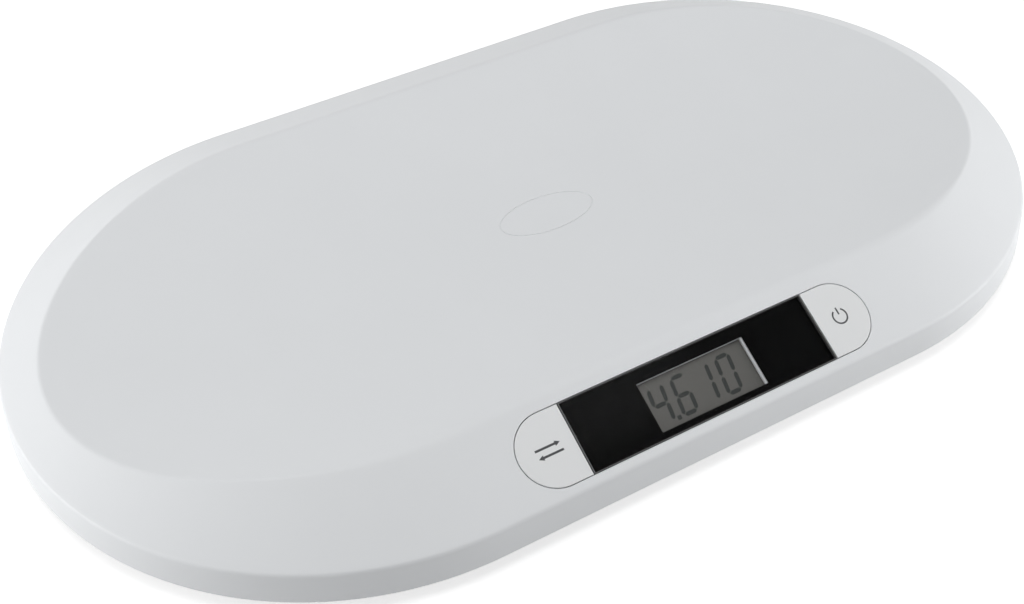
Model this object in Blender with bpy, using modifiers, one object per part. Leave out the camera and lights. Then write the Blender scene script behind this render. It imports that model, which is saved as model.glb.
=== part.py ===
"""A digital baby scale: a one-piece tray housing on four weighing feet.

World frame: X runs along the long axis, -Y is the near side with the display panel,
Z points up and z = 0 is the floor that the rubber pads stand on. Lengths are in metres.
"""
import math

import bmesh
import bpy
from mathutils import Matrix, Vector

# Housing outline and section
OVERALL_LENGTH = 0.550
OVERALL_WIDTH = 0.3235
RIM_HEIGHT = 0.008
WALL_DRAFT = 0.001
CORNER_HEIGHT = 0.0240
ROLL_DOWN = 0.0045
ROLL_OUT = 0.0045
SKIRT_ANGLE = math.radians(26.3)
TRAY_HEIGHT = 0.0334
TRAY_RADIUS = 0.584
CREST_ROLL = 0.004
SHELL_WALL = 0.0025

# Clearances
SEAT_GAP = 0.0003
SLIDE_GAP = 0.0004
OVERRUN = 0.004

# Display panel, measured along and down the slope of the skirt
PANEL_INSET = 0.0045
PANEL_DEPTH = 0.0346
LENS_LENGTH = 0.1322
LENS_THICKNESS = 0.0015
MASK_THICKNESS = 0.00025
LEDGE_THICKNESS = 0.0014
PANEL_MARGIN = 0.003
KEY_SEAM = 0.0005
KEY_REACH = 0.0257
KEY_TRAVEL = 0.0006
KEY_SKIN = 0.0018
KEY_SIDE = 0.0016
KEY_LIP = 0.001
KEY_LIP_THICKNESS = 0.0012
KEY_STEM_RADIUS = 0.002

# Liquid-crystal display and circuit board
LCD_VIEW_LENGTH = 0.0578
LCD_VIEW_DEPTH = 0.0244
LCD_SHIFT_X = 0.0007
LCD_SHIFT_Y = -0.0014
LCD_BORDER = 0.0022
LCD_THICKNESS = 0.0026
LCD_FRAME_WALL = 0.0015
LCD_SHELF = 0.001
ZEBRA_WIDTH = 0.0016
BOARD_LENGTH = 0.172
BOARD_DEPTH = 0.029
BOARD_THICKNESS = 0.0016
BOARD_DROP = 0.0052
BOARD_POST_X = 0.050
BOARD_POST_Y = 0.0112
BOARD_POST_RADIUS = 0.0028
BOARD_SCREW_RADIUS = 0.0011
BOARD_SCREW_HEAD = 0.0023
BOARD_SCREW_HEAD_HEIGHT = 0.0015
CHIP_RADIUS = 0.008
CHIP_HEIGHT = 0.0018
SWITCH_SIZE = 0.006
SWITCH_HEIGHT = 0.0033
PLUNGER_RADIUS = 0.0017
PLUNGER_RISE = 0.0008
PLUNGER_LENGTH = 0.0022

# Bottom shell, its screws and ribs
BASE_RAISE = 0.0005
BASE_FLOOR = 0.0025
BASE_WALL = 0.002
BASE_WALL_HEIGHT = 0.0075
BASE_CHAMFER = 0.0015
BOSS_RADIUS = 0.004
BASE_BOSS_RADIUS = 0.0055
BASE_BOSS_HEIGHT = 0.003
SCREW_RADIUS = 0.0015
SCREW_LENGTH = 0.012
SCREW_HEAD_RADIUS = 0.003
SCREW_HEAD_HEIGHT = 0.002
SCREW_SINK = 0.0035
BOSS_SIDE_X = 0.115
BOSS_SIDE_Y = 0.103
BOSS_END_X = 0.228
RIB_THICKNESS = 0.0018
TRAY_RIB_PITCH = 0.035
TRAY_RIB_LENGTH = 0.340
TRAY_RIB_DEPTH = 0.0045
BASE_RIB_HEIGHT = 0.005
BASE_RIB_LENGTH = 0.230
BASE_RIB_Y = 0.055
BASE_CROSS_RIB_X = 0.070

# Weighing feet
FOOT_X = 0.185
FOOT_Y = 0.095
FOOT_RADIUS = 0.017
FOOT_HUB_RADIUS = 0.0095
FOOT_HOLE_RADIUS = 0.0115
FOOT_ROUND = 0.0012
FOOT_TRAVEL = 0.00025
PAD_RADIUS = 0.0145
PAD_HEIGHT = 0.002
PAD_ROUND = 0.0005
PAD_SINK = 0.0008
CELL_SIZE = 0.034
CELL_THICKNESS = 0.0022
CELL_FRAME = 0.0055
CELL_SLOT = 0.0016
CELL_NECK = 0.008
CELL_CORNER = 0.0025
WELL_WALL = 0.0016
CLAMP_THICKNESS = 0.0022
CLAMP_WIDTH = 0.0045

# Battery compartment, cells and door
BATTERY_RADIUS = 0.00525
BATTERY_LENGTH = 0.0445
NIPPLE_RADIUS = 0.0019
NIPPLE_HEIGHT = 0.001
BATTERY_PITCH = 0.0112
BATTERY_RAISE = 0.0088
CONTACT_THICKNESS = 0.0004
CONTACT_WIDTH = 0.007
CONTACT_HEIGHT = 0.007
SPRING_LENGTH = 0.004
SPRING_RADIUS = 0.0026
SPRING_TOP_RADIUS = 0.0018
SPRING_WIRE_RADIUS = 0.00035
SPRING_TURNS = 3
SPRING_TURN_POINTS = 8
BAY_WALL = 0.0016
BAY_SIDE_ROOM = 0.0013
BAY_TOP_ROOM = 0.0005
DOOR_THICKNESS = 0.0018
DOOR_LIP = 0.0026
TAB_REACH = 0.0020
TAB_THICKNESS = 0.0011
TAB_RISER = 0.0016
TAB_WIDTH = 0.003
LATCH_THICKNESS = 0.0011
LATCH_WIDTH = 0.005
LATCH_HEIGHT = 0.003
NOTCH_RADIUS = 0.006
NOTCH_DEPTH = 0.0009
GRIP_GROOVES = 3
GRIP_PITCH = 0.0024
GRIP_DEPTH = 0.0005
GRIP_LENGTH = 0.012

# Leads
LEAD_RADIUS = 0.0007
LEAD_LEVEL = 0.0195
LEAD_SPACING = 0.012

# Facets
END_SEGMENTS = 24
SIDE_SEGMENTS = 2
ROLL_SEGMENTS = 3
CREST_SEGMENTS = 3
TRAY_SEGMENTS = 6
ROUND_SEGMENTS = 20
SMALL_SEGMENTS = 10
ARC_SEGMENTS = 10

# Worked out from the sizes above
TOP_HALF_LENGTH = OVERALL_LENGTH / 2 - WALL_DRAFT
TOP_HALF_WIDTH = OVERALL_WIDTH / 2 - WALL_DRAFT
SPINE_HALF = TOP_HALF_LENGTH - TOP_HALF_WIDTH
BASE_UNDERSIDE = RIM_HEIGHT + BASE_RAISE
BASE_TOP = BASE_UNDERSIDE + BASE_FLOOR
PANEL_MID_INSET = PANEL_INSET + PANEL_DEPTH / 2 * math.cos(SKIRT_ANGLE)
PANEL_HALF = PANEL_DEPTH / 2
LEDGE_TOP = -(LENS_THICKNESS + MASK_THICKNESS + 2 * SEAT_GAP)
LEDGE_BOTTOM = LEDGE_TOP - LEDGE_THICKNESS
BOARD_TOP = LEDGE_BOTTOM - BOARD_DROP
BOARD_BOTTOM = BOARD_TOP - BOARD_THICKNESS
KEY_START = LENS_LENGTH / 2 + KEY_SEAM
KEY_CENTRE = KEY_START + KEY_REACH / 2
KEY_FLOOR = LEDGE_BOTTOM - SEAT_GAP - KEY_LIP_THICKNESS
SWITCH_TOP = BOARD_TOP + SEAT_GAP + SWITCH_HEIGHT
PLUNGER_TOP = SWITCH_TOP + PLUNGER_RISE
BATTERY_Z = BASE_UNDERSIDE + BATTERY_RAISE
BAY_HALF_LENGTH = (BATTERY_LENGTH + SPRING_LENGTH + 2 * CONTACT_THICKNESS + 5 * SEAT_GAP) / 2
BAY_HALF_WIDTH = BATTERY_PITCH / 2 + BATTERY_RADIUS + BAY_SIDE_ROOM
BAY_CEILING = BATTERY_Z + BATTERY_RADIUS + BAY_TOP_ROOM
CONTACT_MID = BAY_HALF_LENGTH - SEAT_GAP - CONTACT_THICKNESS / 2
DOOR_HINGE_X = DOOR_LIP - BAY_HALF_LENGTH


def clear_scene():
    for old in list(bpy.data.objects):
        bpy.data.objects.remove(old, do_unlink=True)


def make_collection(name):
    collection = bpy.data.collections.new(name)
    bpy.context.scene.collection.children.link(collection)
    return collection


clear_scene()
SCALE = make_collection("baby_scale")
CUTTERS = make_collection("cutters")


def material(name, colour, roughness, metallic=0.0, alpha=1.0):
    """A Principled material with a plain colour."""
    result = bpy.data.materials.new(name)
    result.use_nodes = True
    shader = result.node_tree.nodes["Principled BSDF"]
    shader.inputs["Base Color"].default_value = (*colour, 1.0)
    shader.inputs["Roughness"].default_value = roughness
    shader.inputs["Metallic"].default_value = metallic
    shader.inputs["Alpha"].default_value = alpha
    return result


HOUSING_WHITE = material("housing_white", (0.80, 0.80, 0.80), 0.35)
BASE_WHITE = material("base_white", (0.72, 0.72, 0.72), 0.45)
KEY_WHITE = material("key_white", (0.74, 0.74, 0.74), 0.35)
LENS_CLEAR = material("lens_clear", (0.90, 0.92, 0.92), 0.05, alpha=0.25)
MASK_BLACK = material("mask_black", (0.01, 0.01, 0.01), 0.30)
LCD_GREY = material("lcd_grey", (0.30, 0.30, 0.26), 0.25)
FRAME_WHITE = material("frame_white", (0.70, 0.70, 0.70), 0.50)
ZEBRA_PINK = material("zebra_rubber", (0.45, 0.20, 0.18), 0.70)
BOARD_GREEN = material("board_green", (0.03, 0.18, 0.07), 0.45)
CHIP_BLACK = material("chip_black", (0.015, 0.015, 0.015), 0.30)
SWITCH_BLACK = material("switch_black", (0.02, 0.02, 0.02), 0.50)
STEEL = material("steel", (0.55, 0.55, 0.56), 0.30, 1.0)
PLATED = material("plated", (0.70, 0.70, 0.68), 0.25, 1.0)
CLAMP_WHITE = material("clamp_white", (0.68, 0.68, 0.68), 0.50)
CUP_GREY = material("cup_grey", (0.62, 0.62, 0.62), 0.50)
PAD_RUBBER = material("pad_rubber", (0.05, 0.05, 0.05), 0.85)
BATTERY_SKIN = material("battery_skin", (0.10, 0.10, 0.12), 0.35, 0.3)
LEAD_RED = material("lead_red", (0.50, 0.03, 0.02), 0.45)
LEAD_BLACK = material("lead_black", (0.02, 0.02, 0.02), 0.45)
LEAD_WHITE = material("lead_white", (0.65, 0.65, 0.65), 0.45)


def add_object(name, mesh, paint=None, matrix=None, collection=None):
    """Links a mesh as an object with its material and its place."""
    result = bpy.data.objects.new(name, mesh)
    (collection or SCALE).objects.link(result)
    if paint:
        mesh.materials.append(paint)
    if matrix:
        result.matrix_world = matrix
    return result


def shade_round(part, degrees=35.0):
    part.data.shade_smooth()
    part.data.set_sharp_from_angle(angle=math.radians(degrees))


def finish_mesh(name, bm, smooth=False):
    mesh = bpy.data.meshes.new(name)
    bmesh.ops.recalc_face_normals(bm, faces=bm.faces)
    bm.to_mesh(mesh)
    bm.free()
    if smooth:
        mesh.shade_smooth()
        mesh.set_sharp_from_angle(angle=math.radians(35.0))
    return mesh


def box_mesh(name, low, high):
    """A cube primitive brought to the two corners."""
    bm = bmesh.new()
    bmesh.ops.create_cube(bm, size=1.0)
    size = [high[i] - low[i] for i in range(3)]
    middle = [(high[i] + low[i]) / 2 for i in range(3)]
    bmesh.ops.scale(bm, vec=size, verts=bm.verts)
    bmesh.ops.translate(bm, vec=middle, verts=bm.verts)
    return finish_mesh(name, bm)


def rod_mesh(name, radius, low, high, at=(0.0, 0.0), segments=SMALL_SEGMENTS, top_radius=None):
    """An upright cylinder or cone between two heights."""
    bm = bmesh.new()
    top = radius if top_radius is None else top_radius
    bmesh.ops.create_cone(
        bm, cap_ends=True, segments=segments, radius1=radius, radius2=top, depth=high - low)
    bmesh.ops.translate(bm, vec=(at[0], at[1], (low + high) / 2), verts=bm.verts)
    return finish_mesh(name, bm, smooth=True)


def plate_mesh(name, outlines, low, high):
    """Closed outlines as a filled 2D curve, extruded between two heights."""
    curve = bpy.data.curves.new(name + "_outline", "CURVE")
    curve.dimensions = "2D"
    curve.fill_mode = "BOTH"
    curve.extrude = (high - low) / 2
    for outline in outlines:
        spline = curve.splines.new("POLY")
        spline.points.add(len(outline) - 1)
        for point, (x, y) in zip(spline.points, outline):
            point.co = (x, y, 0.0, 1.0)
        spline.use_cyclic_u = True
    holder = bpy.data.objects.new(name + "_outline", curve)
    CUTTERS.objects.link(holder)
    evaluated = holder.evaluated_get(bpy.context.evaluated_depsgraph_get())
    raw = bpy.data.meshes.new_from_object(evaluated)
    bpy.data.objects.remove(holder, do_unlink=True)
    bm = bmesh.new()
    bm.from_mesh(raw)
    bmesh.ops.remove_doubles(bm, verts=bm.verts, dist=0.00001)
    bmesh.ops.translate(bm, vec=(0.0, 0.0, (low + high) / 2), verts=bm.verts)
    bpy.data.meshes.remove(raw)
    return finish_mesh(name, bm)


def turned(name, profile, paint, matrix, steps=ROUND_SEGMENTS):
    """A profile of (radius, height) points, top to bottom, turned about Z by a Screw modifier."""
    mesh = bpy.data.meshes.new(name)
    points = [(radius, 0.0, height) for radius, height in profile]
    mesh.from_pydata(points, [(i, i + 1) for i in range(len(points) - 1)], [])
    part = add_object(name, mesh, paint, matrix)
    screw = part.modifiers.new("turn", "SCREW")
    screw.steps = steps
    screw.render_steps = steps
    screw.use_merge_vertices = True
    screw.merge_threshold = 0.00001
    screw.use_smooth_shade = True
    return part


def cutter(name, mesh, matrix=None, group=None):
    """A shape that is only used to join to or cut from another."""
    shape = add_object(name, mesh, None, matrix, group or CUTTERS)
    shape.hide_render = True
    shape.display_type = "WIRE"
    return shape


def boolean(part, operation, shape):
    """Joins or cuts one shape, or a whole collection of them."""
    change = part.modifiers.new(operation.lower(), "BOOLEAN")
    change.operation = operation
    change.solver = "EXACT"
    if isinstance(shape, bpy.types.Collection):
        change.operand_type = "COLLECTION"
        change.collection = shape
    else:
        change.object = shape
    return change


def group_of(name):
    """A collection of joining or cutting shapes, kept under the cutters."""
    group = bpy.data.collections.new(name)
    CUTTERS.children.link(group)
    return group


def rectangle(half_x, half_y, middle_x=0.0, middle_y=0.0):
    corners = [(-half_x, -half_y), (half_x, -half_y), (half_x, half_y), (-half_x, half_y)]
    return [(middle_x + x, middle_y + y) for x, y in corners]


def rounded_rectangle(half_x, half_y, corner, middle_x=0.0, middle_y=0.0, steps=4):
    """A rectangle whose corners are quarter circles."""
    points = []
    for quarter in range(4):
        turn = quarter * math.pi / 2
        side_x = 1 if quarter in (0, 3) else -1
        side_y = 1 if quarter in (0, 1) else -1
        for step in range(steps + 1):
            angle = turn + step / steps * math.pi / 2
            x = middle_x + side_x * (half_x - corner) + corner * math.cos(angle)
            y = middle_y + side_y * (half_y - corner) + corner * math.sin(angle)
            points.append((x, y))
    return points


def key_outline(side, grow=0.0):
    """The D of a key, about its own centre, with its round end away from the lens."""
    inner = -KEY_REACH / 2 - grow
    radius = PANEL_HALF + grow
    turn_x = KEY_REACH / 2 - PANEL_HALF
    points = [(inner, -radius)]
    for step in range(ARC_SEGMENTS + 1):
        angle = math.pi * (step / ARC_SEGMENTS - 1 / 2)
        points.append((turn_x + radius * math.cos(angle), radius * math.sin(angle)))
    points.append((inner, radius))
    if side > 0:
        return points
    return [(-x, y) for x, y in reversed(points)]


def skirt_height(inset):
    """Height of the sloping skirt at a distance in from the wall's top line."""
    return CORNER_HEIGHT + inset * math.tan(SKIRT_ANGLE)


def tray_height(y):
    """Height of the tray, a shallow trough along X."""
    return TRAY_HEIGHT + y * y / (2 * TRAY_RADIUS)


def bend(first, corner, last, share):
    """A point on the quadratic curve that rounds a corner."""
    keep = 1 - share
    return first * (keep * keep) + corner * (2 * share * keep) + last * (share * share)


def stations():
    """Spine point and outward direction at each place round the outline, from +X anticlockwise."""
    result = []
    for step in range(END_SEGMENTS + 1):
        angle = -math.pi / 2 + math.pi * step / END_SEGMENTS
        result.append((SPINE_HALF, math.cos(angle), math.sin(angle)))
    for step in range(1, SIDE_SEGMENTS):
        result.append((SPINE_HALF * (1 - 2 * step / SIDE_SEGMENTS), 0.0, 1.0))
    for step in range(END_SEGMENTS + 1):
        angle = math.pi / 2 + math.pi * step / END_SEGMENTS
        result.append((-SPINE_HALF, math.cos(angle), math.sin(angle)))
    for step in range(1, SIDE_SEGMENTS):
        result.append((-SPINE_HALF * (1 - 2 * step / SIDE_SEGMENTS), 0.0, -1.0))
    return result


def crest_inset(way_y):
    """How far in from the wall the skirt meets the tray, found by halving."""
    low = 0.0
    high = TOP_HALF_WIDTH
    for _ in range(40):
        middle = (low + high) / 2
        if skirt_height(middle) > tray_height(way_y * (TOP_HALF_WIDTH - middle)):
            high = middle
        else:
            low = middle
    return low


def housing_section(way_y):
    """The housing's section at one station, as (inset, height) from the foot of the wall to the tray."""
    section = [Vector((-WALL_DRAFT, RIM_HEIGHT))]
    low = Vector((0.0, CORNER_HEIGHT - ROLL_DOWN))
    corner = Vector((0.0, CORNER_HEIGHT))
    high = Vector((ROLL_OUT, skirt_height(ROLL_OUT)))
    for step in range(ROLL_SEGMENTS + 1):
        section.append(bend(low, corner, high, step / ROLL_SEGMENTS))
    crest = crest_inset(way_y)
    before = Vector((crest - CREST_ROLL, skirt_height(crest - CREST_ROLL)))
    crease = Vector((crest, skirt_height(crest)))
    inner = crest + CREST_ROLL
    after = Vector((inner, tray_height(way_y * (TOP_HALF_WIDTH - inner))))
    for step in range(CREST_SEGMENTS + 1):
        section.append(bend(before, crease, after, step / CREST_SEGMENTS))
    return section


def housing_skin():
    """The open outer skin: a loft of the section round the outline, closed by ruled strips of tray."""
    bm = bmesh.new()
    places = stations()
    rows = []
    for spine_x, way_x, way_y in places:
        row = []
        for inset, height in housing_section(way_y):
            reach = TOP_HALF_WIDTH - inset
            row.append(bm.verts.new((spine_x + way_x * reach, way_y * reach, height)))
        rows.append(row)
    count = len(rows)
    for i in range(count):
        here = rows[i]
        there = rows[(i + 1) % count]
        for j in range(len(here) - 1):
            bm.faces.new((here[j], there[j], there[j + 1], here[j + 1]))
    half = count // 2
    tip = END_SEGMENTS // 2
    strips = []
    for k in range(half + 1):
        near = rows[(tip - k) % count][-1]
        far = rows[(tip + k) % count][-1]
        if near is far:
            strips.append([near])
            continue
        strip = [near]
        for step in range(1, TRAY_SEGMENTS):
            y = near.co.y + (far.co.y - near.co.y) * step / TRAY_SEGMENTS
            strip.append(bm.verts.new((near.co.x, y, tray_height(y))))
        strip.append(far)
        strips.append(strip)
    for first, second in zip(strips, strips[1:]):
        for j in range(TRAY_SEGMENTS):
            if len(first) == 1:
                bm.faces.new((first[0], second[j + 1], second[j]))
            elif len(second) == 1:
                bm.faces.new((first[j], first[j + 1], second[0]))
            else:
                bm.faces.new((first[j], first[j + 1], second[j + 1], second[j]))
    bmesh.ops.recalc_face_normals(bm, faces=bm.faces)
    mesh = bpy.data.meshes.new("top_shell")
    bm.to_mesh(mesh)
    bm.free()
    return mesh


PANEL = Matrix.Translation((0.0, PANEL_MID_INSET - TOP_HALF_WIDTH, skirt_height(PANEL_MID_INSET)))
PANEL = PANEL @ Matrix.Rotation(SKIRT_ANGLE, 4, "X")


def on_panel(x=0.0, y=0.0, z=0.0):
    """The panel's frame moved along its own axes: x along the panel, y up the slope, z out."""
    return PANEL @ Matrix.Translation((x, y, z))


def boss_places():
    places = [(0.0, side * BOSS_SIDE_Y) for side in (-1, 1)]
    places += [(side * BOSS_END_X, 0.0) for side in (-1, 1)]
    places += [(sx * BOSS_SIDE_X, sy * BOSS_SIDE_Y) for sx in (-1, 1) for sy in (-1, 1)]
    return places


def board_post_places():
    return [(sx * BOARD_POST_X, sy * BOARD_POST_Y) for sx in (-1, 1) for sy in (-1, 1)]


def foot_places():
    return [(sx * FOOT_X, sy * FOOT_Y) for sx in (-1, 1) for sy in (-1, 1)]


def top_shell():
    """The white housing moulding with its panel ledge, screw bosses and ribs."""
    part = add_object("top_shell", housing_skin(), HOUSING_WHITE)
    shade_round(part, 20.0)
    wall = part.modifiers.new("wall", "SOLIDIFY")
    wall.thickness = SHELL_WALL
    wall.offset = -1.0
    wall.use_even_offset = True

    joins = group_of("top_shell_joins")
    ledge = [rounded_rectangle(
        KEY_START + KEY_REACH + PANEL_MARGIN, PANEL_HALF + PANEL_MARGIN, PANEL_HALF + PANEL_MARGIN / 2,
        steps=ARC_SEGMENTS // 2)]
    mesh = plate_mesh("panel_ledge", ledge, LEDGE_BOTTOM, -SHELL_WALL / 2)
    cutter("panel_ledge", mesh, PANEL, joins)
    boss_foot = BASE_TOP + BASE_BOSS_HEIGHT + SEAT_GAP
    for index, (x, y) in enumerate(boss_places()):
        top = tray_height(y) - SHELL_WALL / 2
        mesh = rod_mesh("screw_boss", BOSS_RADIUS, boss_foot, top, (x, y))
        cutter("screw_boss_%d" % (index + 1), mesh, None, joins)
    post_top = (LEDGE_BOTTOM + LEDGE_TOP) / 2
    for index, (x, y) in enumerate(board_post_places()):
        mesh = rod_mesh("board_post", BOARD_POST_RADIUS, BOARD_TOP + SEAT_GAP, post_top, (x, y))
        cutter("board_post_%d" % (index + 1), mesh, PANEL, joins)
    for row in range(-2, 3):
        y = row * TRAY_RIB_PITCH
        top = tray_height(abs(y)) - SHELL_WALL / 2
        low = (-TRAY_RIB_LENGTH / 2, y - RIB_THICKNESS / 2, top - SHELL_WALL / 2 - TRAY_RIB_DEPTH)
        high = (TRAY_RIB_LENGTH / 2, y + RIB_THICKNESS / 2, top)
        cutter("tray_rib_%d" % (row + 3), box_mesh("tray_rib", low, high), None, joins)
    boolean(part, "UNION", joins)

    cuts = group_of("top_shell_cuts")
    pocket = [rectangle(LENS_LENGTH / 2 + SEAT_GAP, PANEL_HALF + SEAT_GAP)]
    cutter("lens_pocket", plate_mesh("lens_pocket", pocket, LEDGE_TOP, OVERRUN), PANEL, cuts)
    view = [rectangle(LCD_VIEW_LENGTH / 2, LCD_VIEW_DEPTH / 2, LCD_SHIFT_X, LCD_SHIFT_Y)]
    mesh = plate_mesh("lcd_opening", view, LEDGE_BOTTOM - OVERRUN / 2, OVERRUN)
    cutter("lcd_opening", mesh, PANEL, cuts)
    for side, name in ((-1, "unit"), (1, "power")):
        outline = [key_outline(side, SLIDE_GAP)]
        mesh = plate_mesh(name + "_key_hole", outline, LEDGE_BOTTOM - OVERRUN / 2, OVERRUN)
        cutter(name + "_key_hole", mesh, on_panel(side * KEY_CENTRE), cuts)
    pilot_top = BASE_UNDERSIDE + SCREW_SINK + SCREW_LENGTH + 2 * SEAT_GAP
    for index, (x, y) in enumerate(boss_places()):
        mesh = rod_mesh("pilot", SCREW_RADIUS + SEAT_GAP, boss_foot - OVERRUN, pilot_top, (x, y))
        cutter("pilot_%d" % (index + 1), mesh, None, cuts)
    for index, (x, y) in enumerate(board_post_places()):
        low = BOARD_TOP - OVERRUN / 2
        high = LEDGE_BOTTOM - SEAT_GAP
        mesh = rod_mesh("board_pilot", BOARD_SCREW_RADIUS + SEAT_GAP, low, high, (x, y), segments=10)
        cutter("board_pilot_%d" % (index + 1), mesh, PANEL, cuts)
    boolean(part, "DIFFERENCE", cuts)
    return part


def ring_rows(bm, half_length, half_width, section):
    """One closed row of points round a stadium for each (inset, height)."""
    spine = half_length - half_width
    rows = []
    for inset, height in section:
        row = []
        for spine_x, way_x, way_y in stations():
            reach = half_width - inset
            x = spine_x / SPINE_HALF * spine + way_x * reach
            row.append(bm.verts.new((x, way_y * reach, height)))
        rows.append(row)
    return rows


def base_pan():
    """A shallow stadium pan: flat floor, chamfered edge and an upstanding wall."""
    inset = WALL_DRAFT + SHELL_WALL + SLIDE_GAP
    half_length = OVERALL_LENGTH / 2 - inset
    half_width = OVERALL_WIDTH / 2 - inset
    wall_top = BASE_UNDERSIDE + BASE_WALL_HEIGHT
    section = [
        (BASE_CHAMFER, BASE_UNDERSIDE),
        (0.0, BASE_UNDERSIDE + BASE_CHAMFER),
        (0.0, wall_top),
        (BASE_WALL, wall_top),
        (BASE_WALL, BASE_TOP)]
    bm = bmesh.new()
    rows = ring_rows(bm, half_length, half_width, section)
    for low, high in zip(rows, rows[1:]):
        for i in range(len(low)):
            j = (i + 1) % len(low)
            bm.faces.new((low[i], low[j], high[j], high[i]))
    bm.faces.new(rows[0])
    bm.faces.new(rows[-1])
    return finish_mesh("bottom_shell", bm)


def bottom_shell():
    """The white base moulding with cell wells, battery bay, screw bosses and ribs."""
    part = add_object("bottom_shell", base_pan(), BASE_WHITE)
    joins = group_of("bottom_shell_joins")
    root = BASE_TOP - BASE_FLOOR / 2
    for index, (x, y) in enumerate(boss_places()):
        mesh = rod_mesh("base_boss", BASE_BOSS_RADIUS, root, BASE_TOP + BASE_BOSS_HEIGHT, (x, y))
        cutter("base_boss_%d" % (index + 1), mesh, None, joins)
    well_half = CELL_SIZE / 2 + SLIDE_GAP + WELL_WALL
    well_top = BASE_TOP + CELL_THICKNESS + CLAMP_THICKNESS + 3 * SEAT_GAP
    for index, (x, y) in enumerate(foot_places()):
        outline = [rounded_rectangle(well_half, well_half, CELL_CORNER + WELL_WALL, x, y)]
        cutter("well_%d" % (index + 1), plate_mesh("well", outline, root, well_top), None, joins)
    bay = box_mesh(
        "bay", (-BAY_HALF_LENGTH - BAY_WALL, -BAY_HALF_WIDTH - BAY_WALL, root),
        (BAY_HALF_LENGTH + BAY_WALL, BAY_HALF_WIDTH + BAY_WALL, BAY_CEILING + BAY_WALL))
    cutter("battery_bay", bay, None, joins)
    rib_top = BASE_TOP + BASE_RIB_HEIGHT
    for side in (-1, 1):
        low = (-BASE_RIB_LENGTH / 2, side * BASE_RIB_Y - RIB_THICKNESS / 2, root)
        high = (BASE_RIB_LENGTH / 2, side * BASE_RIB_Y + RIB_THICKNESS / 2, rib_top)
        cutter("long_rib_%d" % (side + 2), box_mesh("long_rib", low, high), None, joins)
        x = side * BASE_CROSS_RIB_X
        low = (x - RIB_THICKNESS / 2, -BASE_RIB_Y - BASE_RIB_Y / 2, root)
        high = (x + RIB_THICKNESS / 2, BASE_RIB_Y + BASE_RIB_Y / 2, rib_top - BASE_FLOOR / 4)
        cutter("cross_rib_%d" % (side + 2), box_mesh("cross_rib", low, high), None, joins)
    boolean(part, "UNION", joins)

    cuts = group_of("bottom_shell_cuts")
    under = BASE_UNDERSIDE - OVERRUN
    sink_top = BASE_UNDERSIDE + SCREW_SINK
    above = BASE_TOP + BASE_BOSS_HEIGHT + OVERRUN
    for index, (x, y) in enumerate(boss_places()):
        mesh = rod_mesh("screw_sink", SCREW_HEAD_RADIUS + SEAT_GAP, under, sink_top, (x, y))
        cutter("screw_sink_%d" % (index + 1), mesh, None, cuts)
        mesh = rod_mesh("screw_hole", SCREW_RADIUS + SEAT_GAP, under, above, (x, y))
        cutter("screw_hole_%d" % (index + 1), mesh, None, cuts)
    cell_half = CELL_SIZE / 2 + SLIDE_GAP
    for index, (x, y) in enumerate(foot_places()):
        outline = [rounded_rectangle(cell_half, cell_half, CELL_CORNER, x, y)]
        mesh = plate_mesh("cell_seat", outline, BASE_TOP, well_top + OVERRUN)
        cutter("cell_seat_%d" % (index + 1), mesh, None, cuts)
        through = BASE_TOP + OVERRUN / 2
        mesh = rod_mesh("foot_hole", FOOT_HOLE_RADIUS, under, through, (x, y), ROUND_SEGMENTS)
        cutter("foot_hole_%d" % (index + 1), mesh, None, cuts)
    room = box_mesh(
        "bay_room", (-BAY_HALF_LENGTH, -BAY_HALF_WIDTH, BASE_TOP),
        (BAY_HALF_LENGTH, BAY_HALF_WIDTH, BAY_CEILING))
    cutter("bay_room", room, None, cuts)
    mouth = box_mesh(
        "bay_mouth", (DOOR_HINGE_X, -BAY_HALF_WIDTH, under),
        (BAY_HALF_LENGTH, BAY_HALF_WIDTH, BASE_TOP + OVERRUN))
    cutter("bay_mouth", mouth, None, cuts)
    notch_top = BASE_UNDERSIDE + NOTCH_DEPTH
    notch = rod_mesh("finger_notch", NOTCH_RADIUS, under, notch_top, (BAY_HALF_LENGTH + BAY_WALL, 0.0))
    cutter("finger_notch", notch, None, cuts)
    boolean(part, "DIFFERENCE", cuts)
    return part


def display_lens():
    outline = [rectangle(LENS_LENGTH / 2, PANEL_HALF)]
    return add_object(
        "display_lens", plate_mesh("display_lens", outline, -LENS_THICKNESS, 0.0), LENS_CLEAR, PANEL)


def lens_mask():
    """The black print behind the lens, open over the display."""
    top = -LENS_THICKNESS - SEAT_GAP
    outlines = [
        rectangle(LENS_LENGTH / 2, PANEL_HALF),
        rectangle(LCD_VIEW_LENGTH / 2, LCD_VIEW_DEPTH / 2, LCD_SHIFT_X, LCD_SHIFT_Y)]
    mesh = plate_mesh("lens_mask", outlines, top - MASK_THICKNESS, top)
    return add_object("lens_mask", mesh, MASK_BLACK, PANEL)


def lcd_halves():
    return LCD_VIEW_LENGTH / 2 + LCD_BORDER, LCD_VIEW_DEPTH / 2 + LCD_BORDER


def lcd_glass():
    half_x, half_y = lcd_halves()
    top = LEDGE_BOTTOM - SEAT_GAP
    mesh = plate_mesh("lcd_glass", [rectangle(half_x, half_y)], top - LCD_THICKNESS, top)
    return add_object("lcd_glass", mesh, LCD_GREY, on_panel(LCD_SHIFT_X, LCD_SHIFT_Y))


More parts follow.
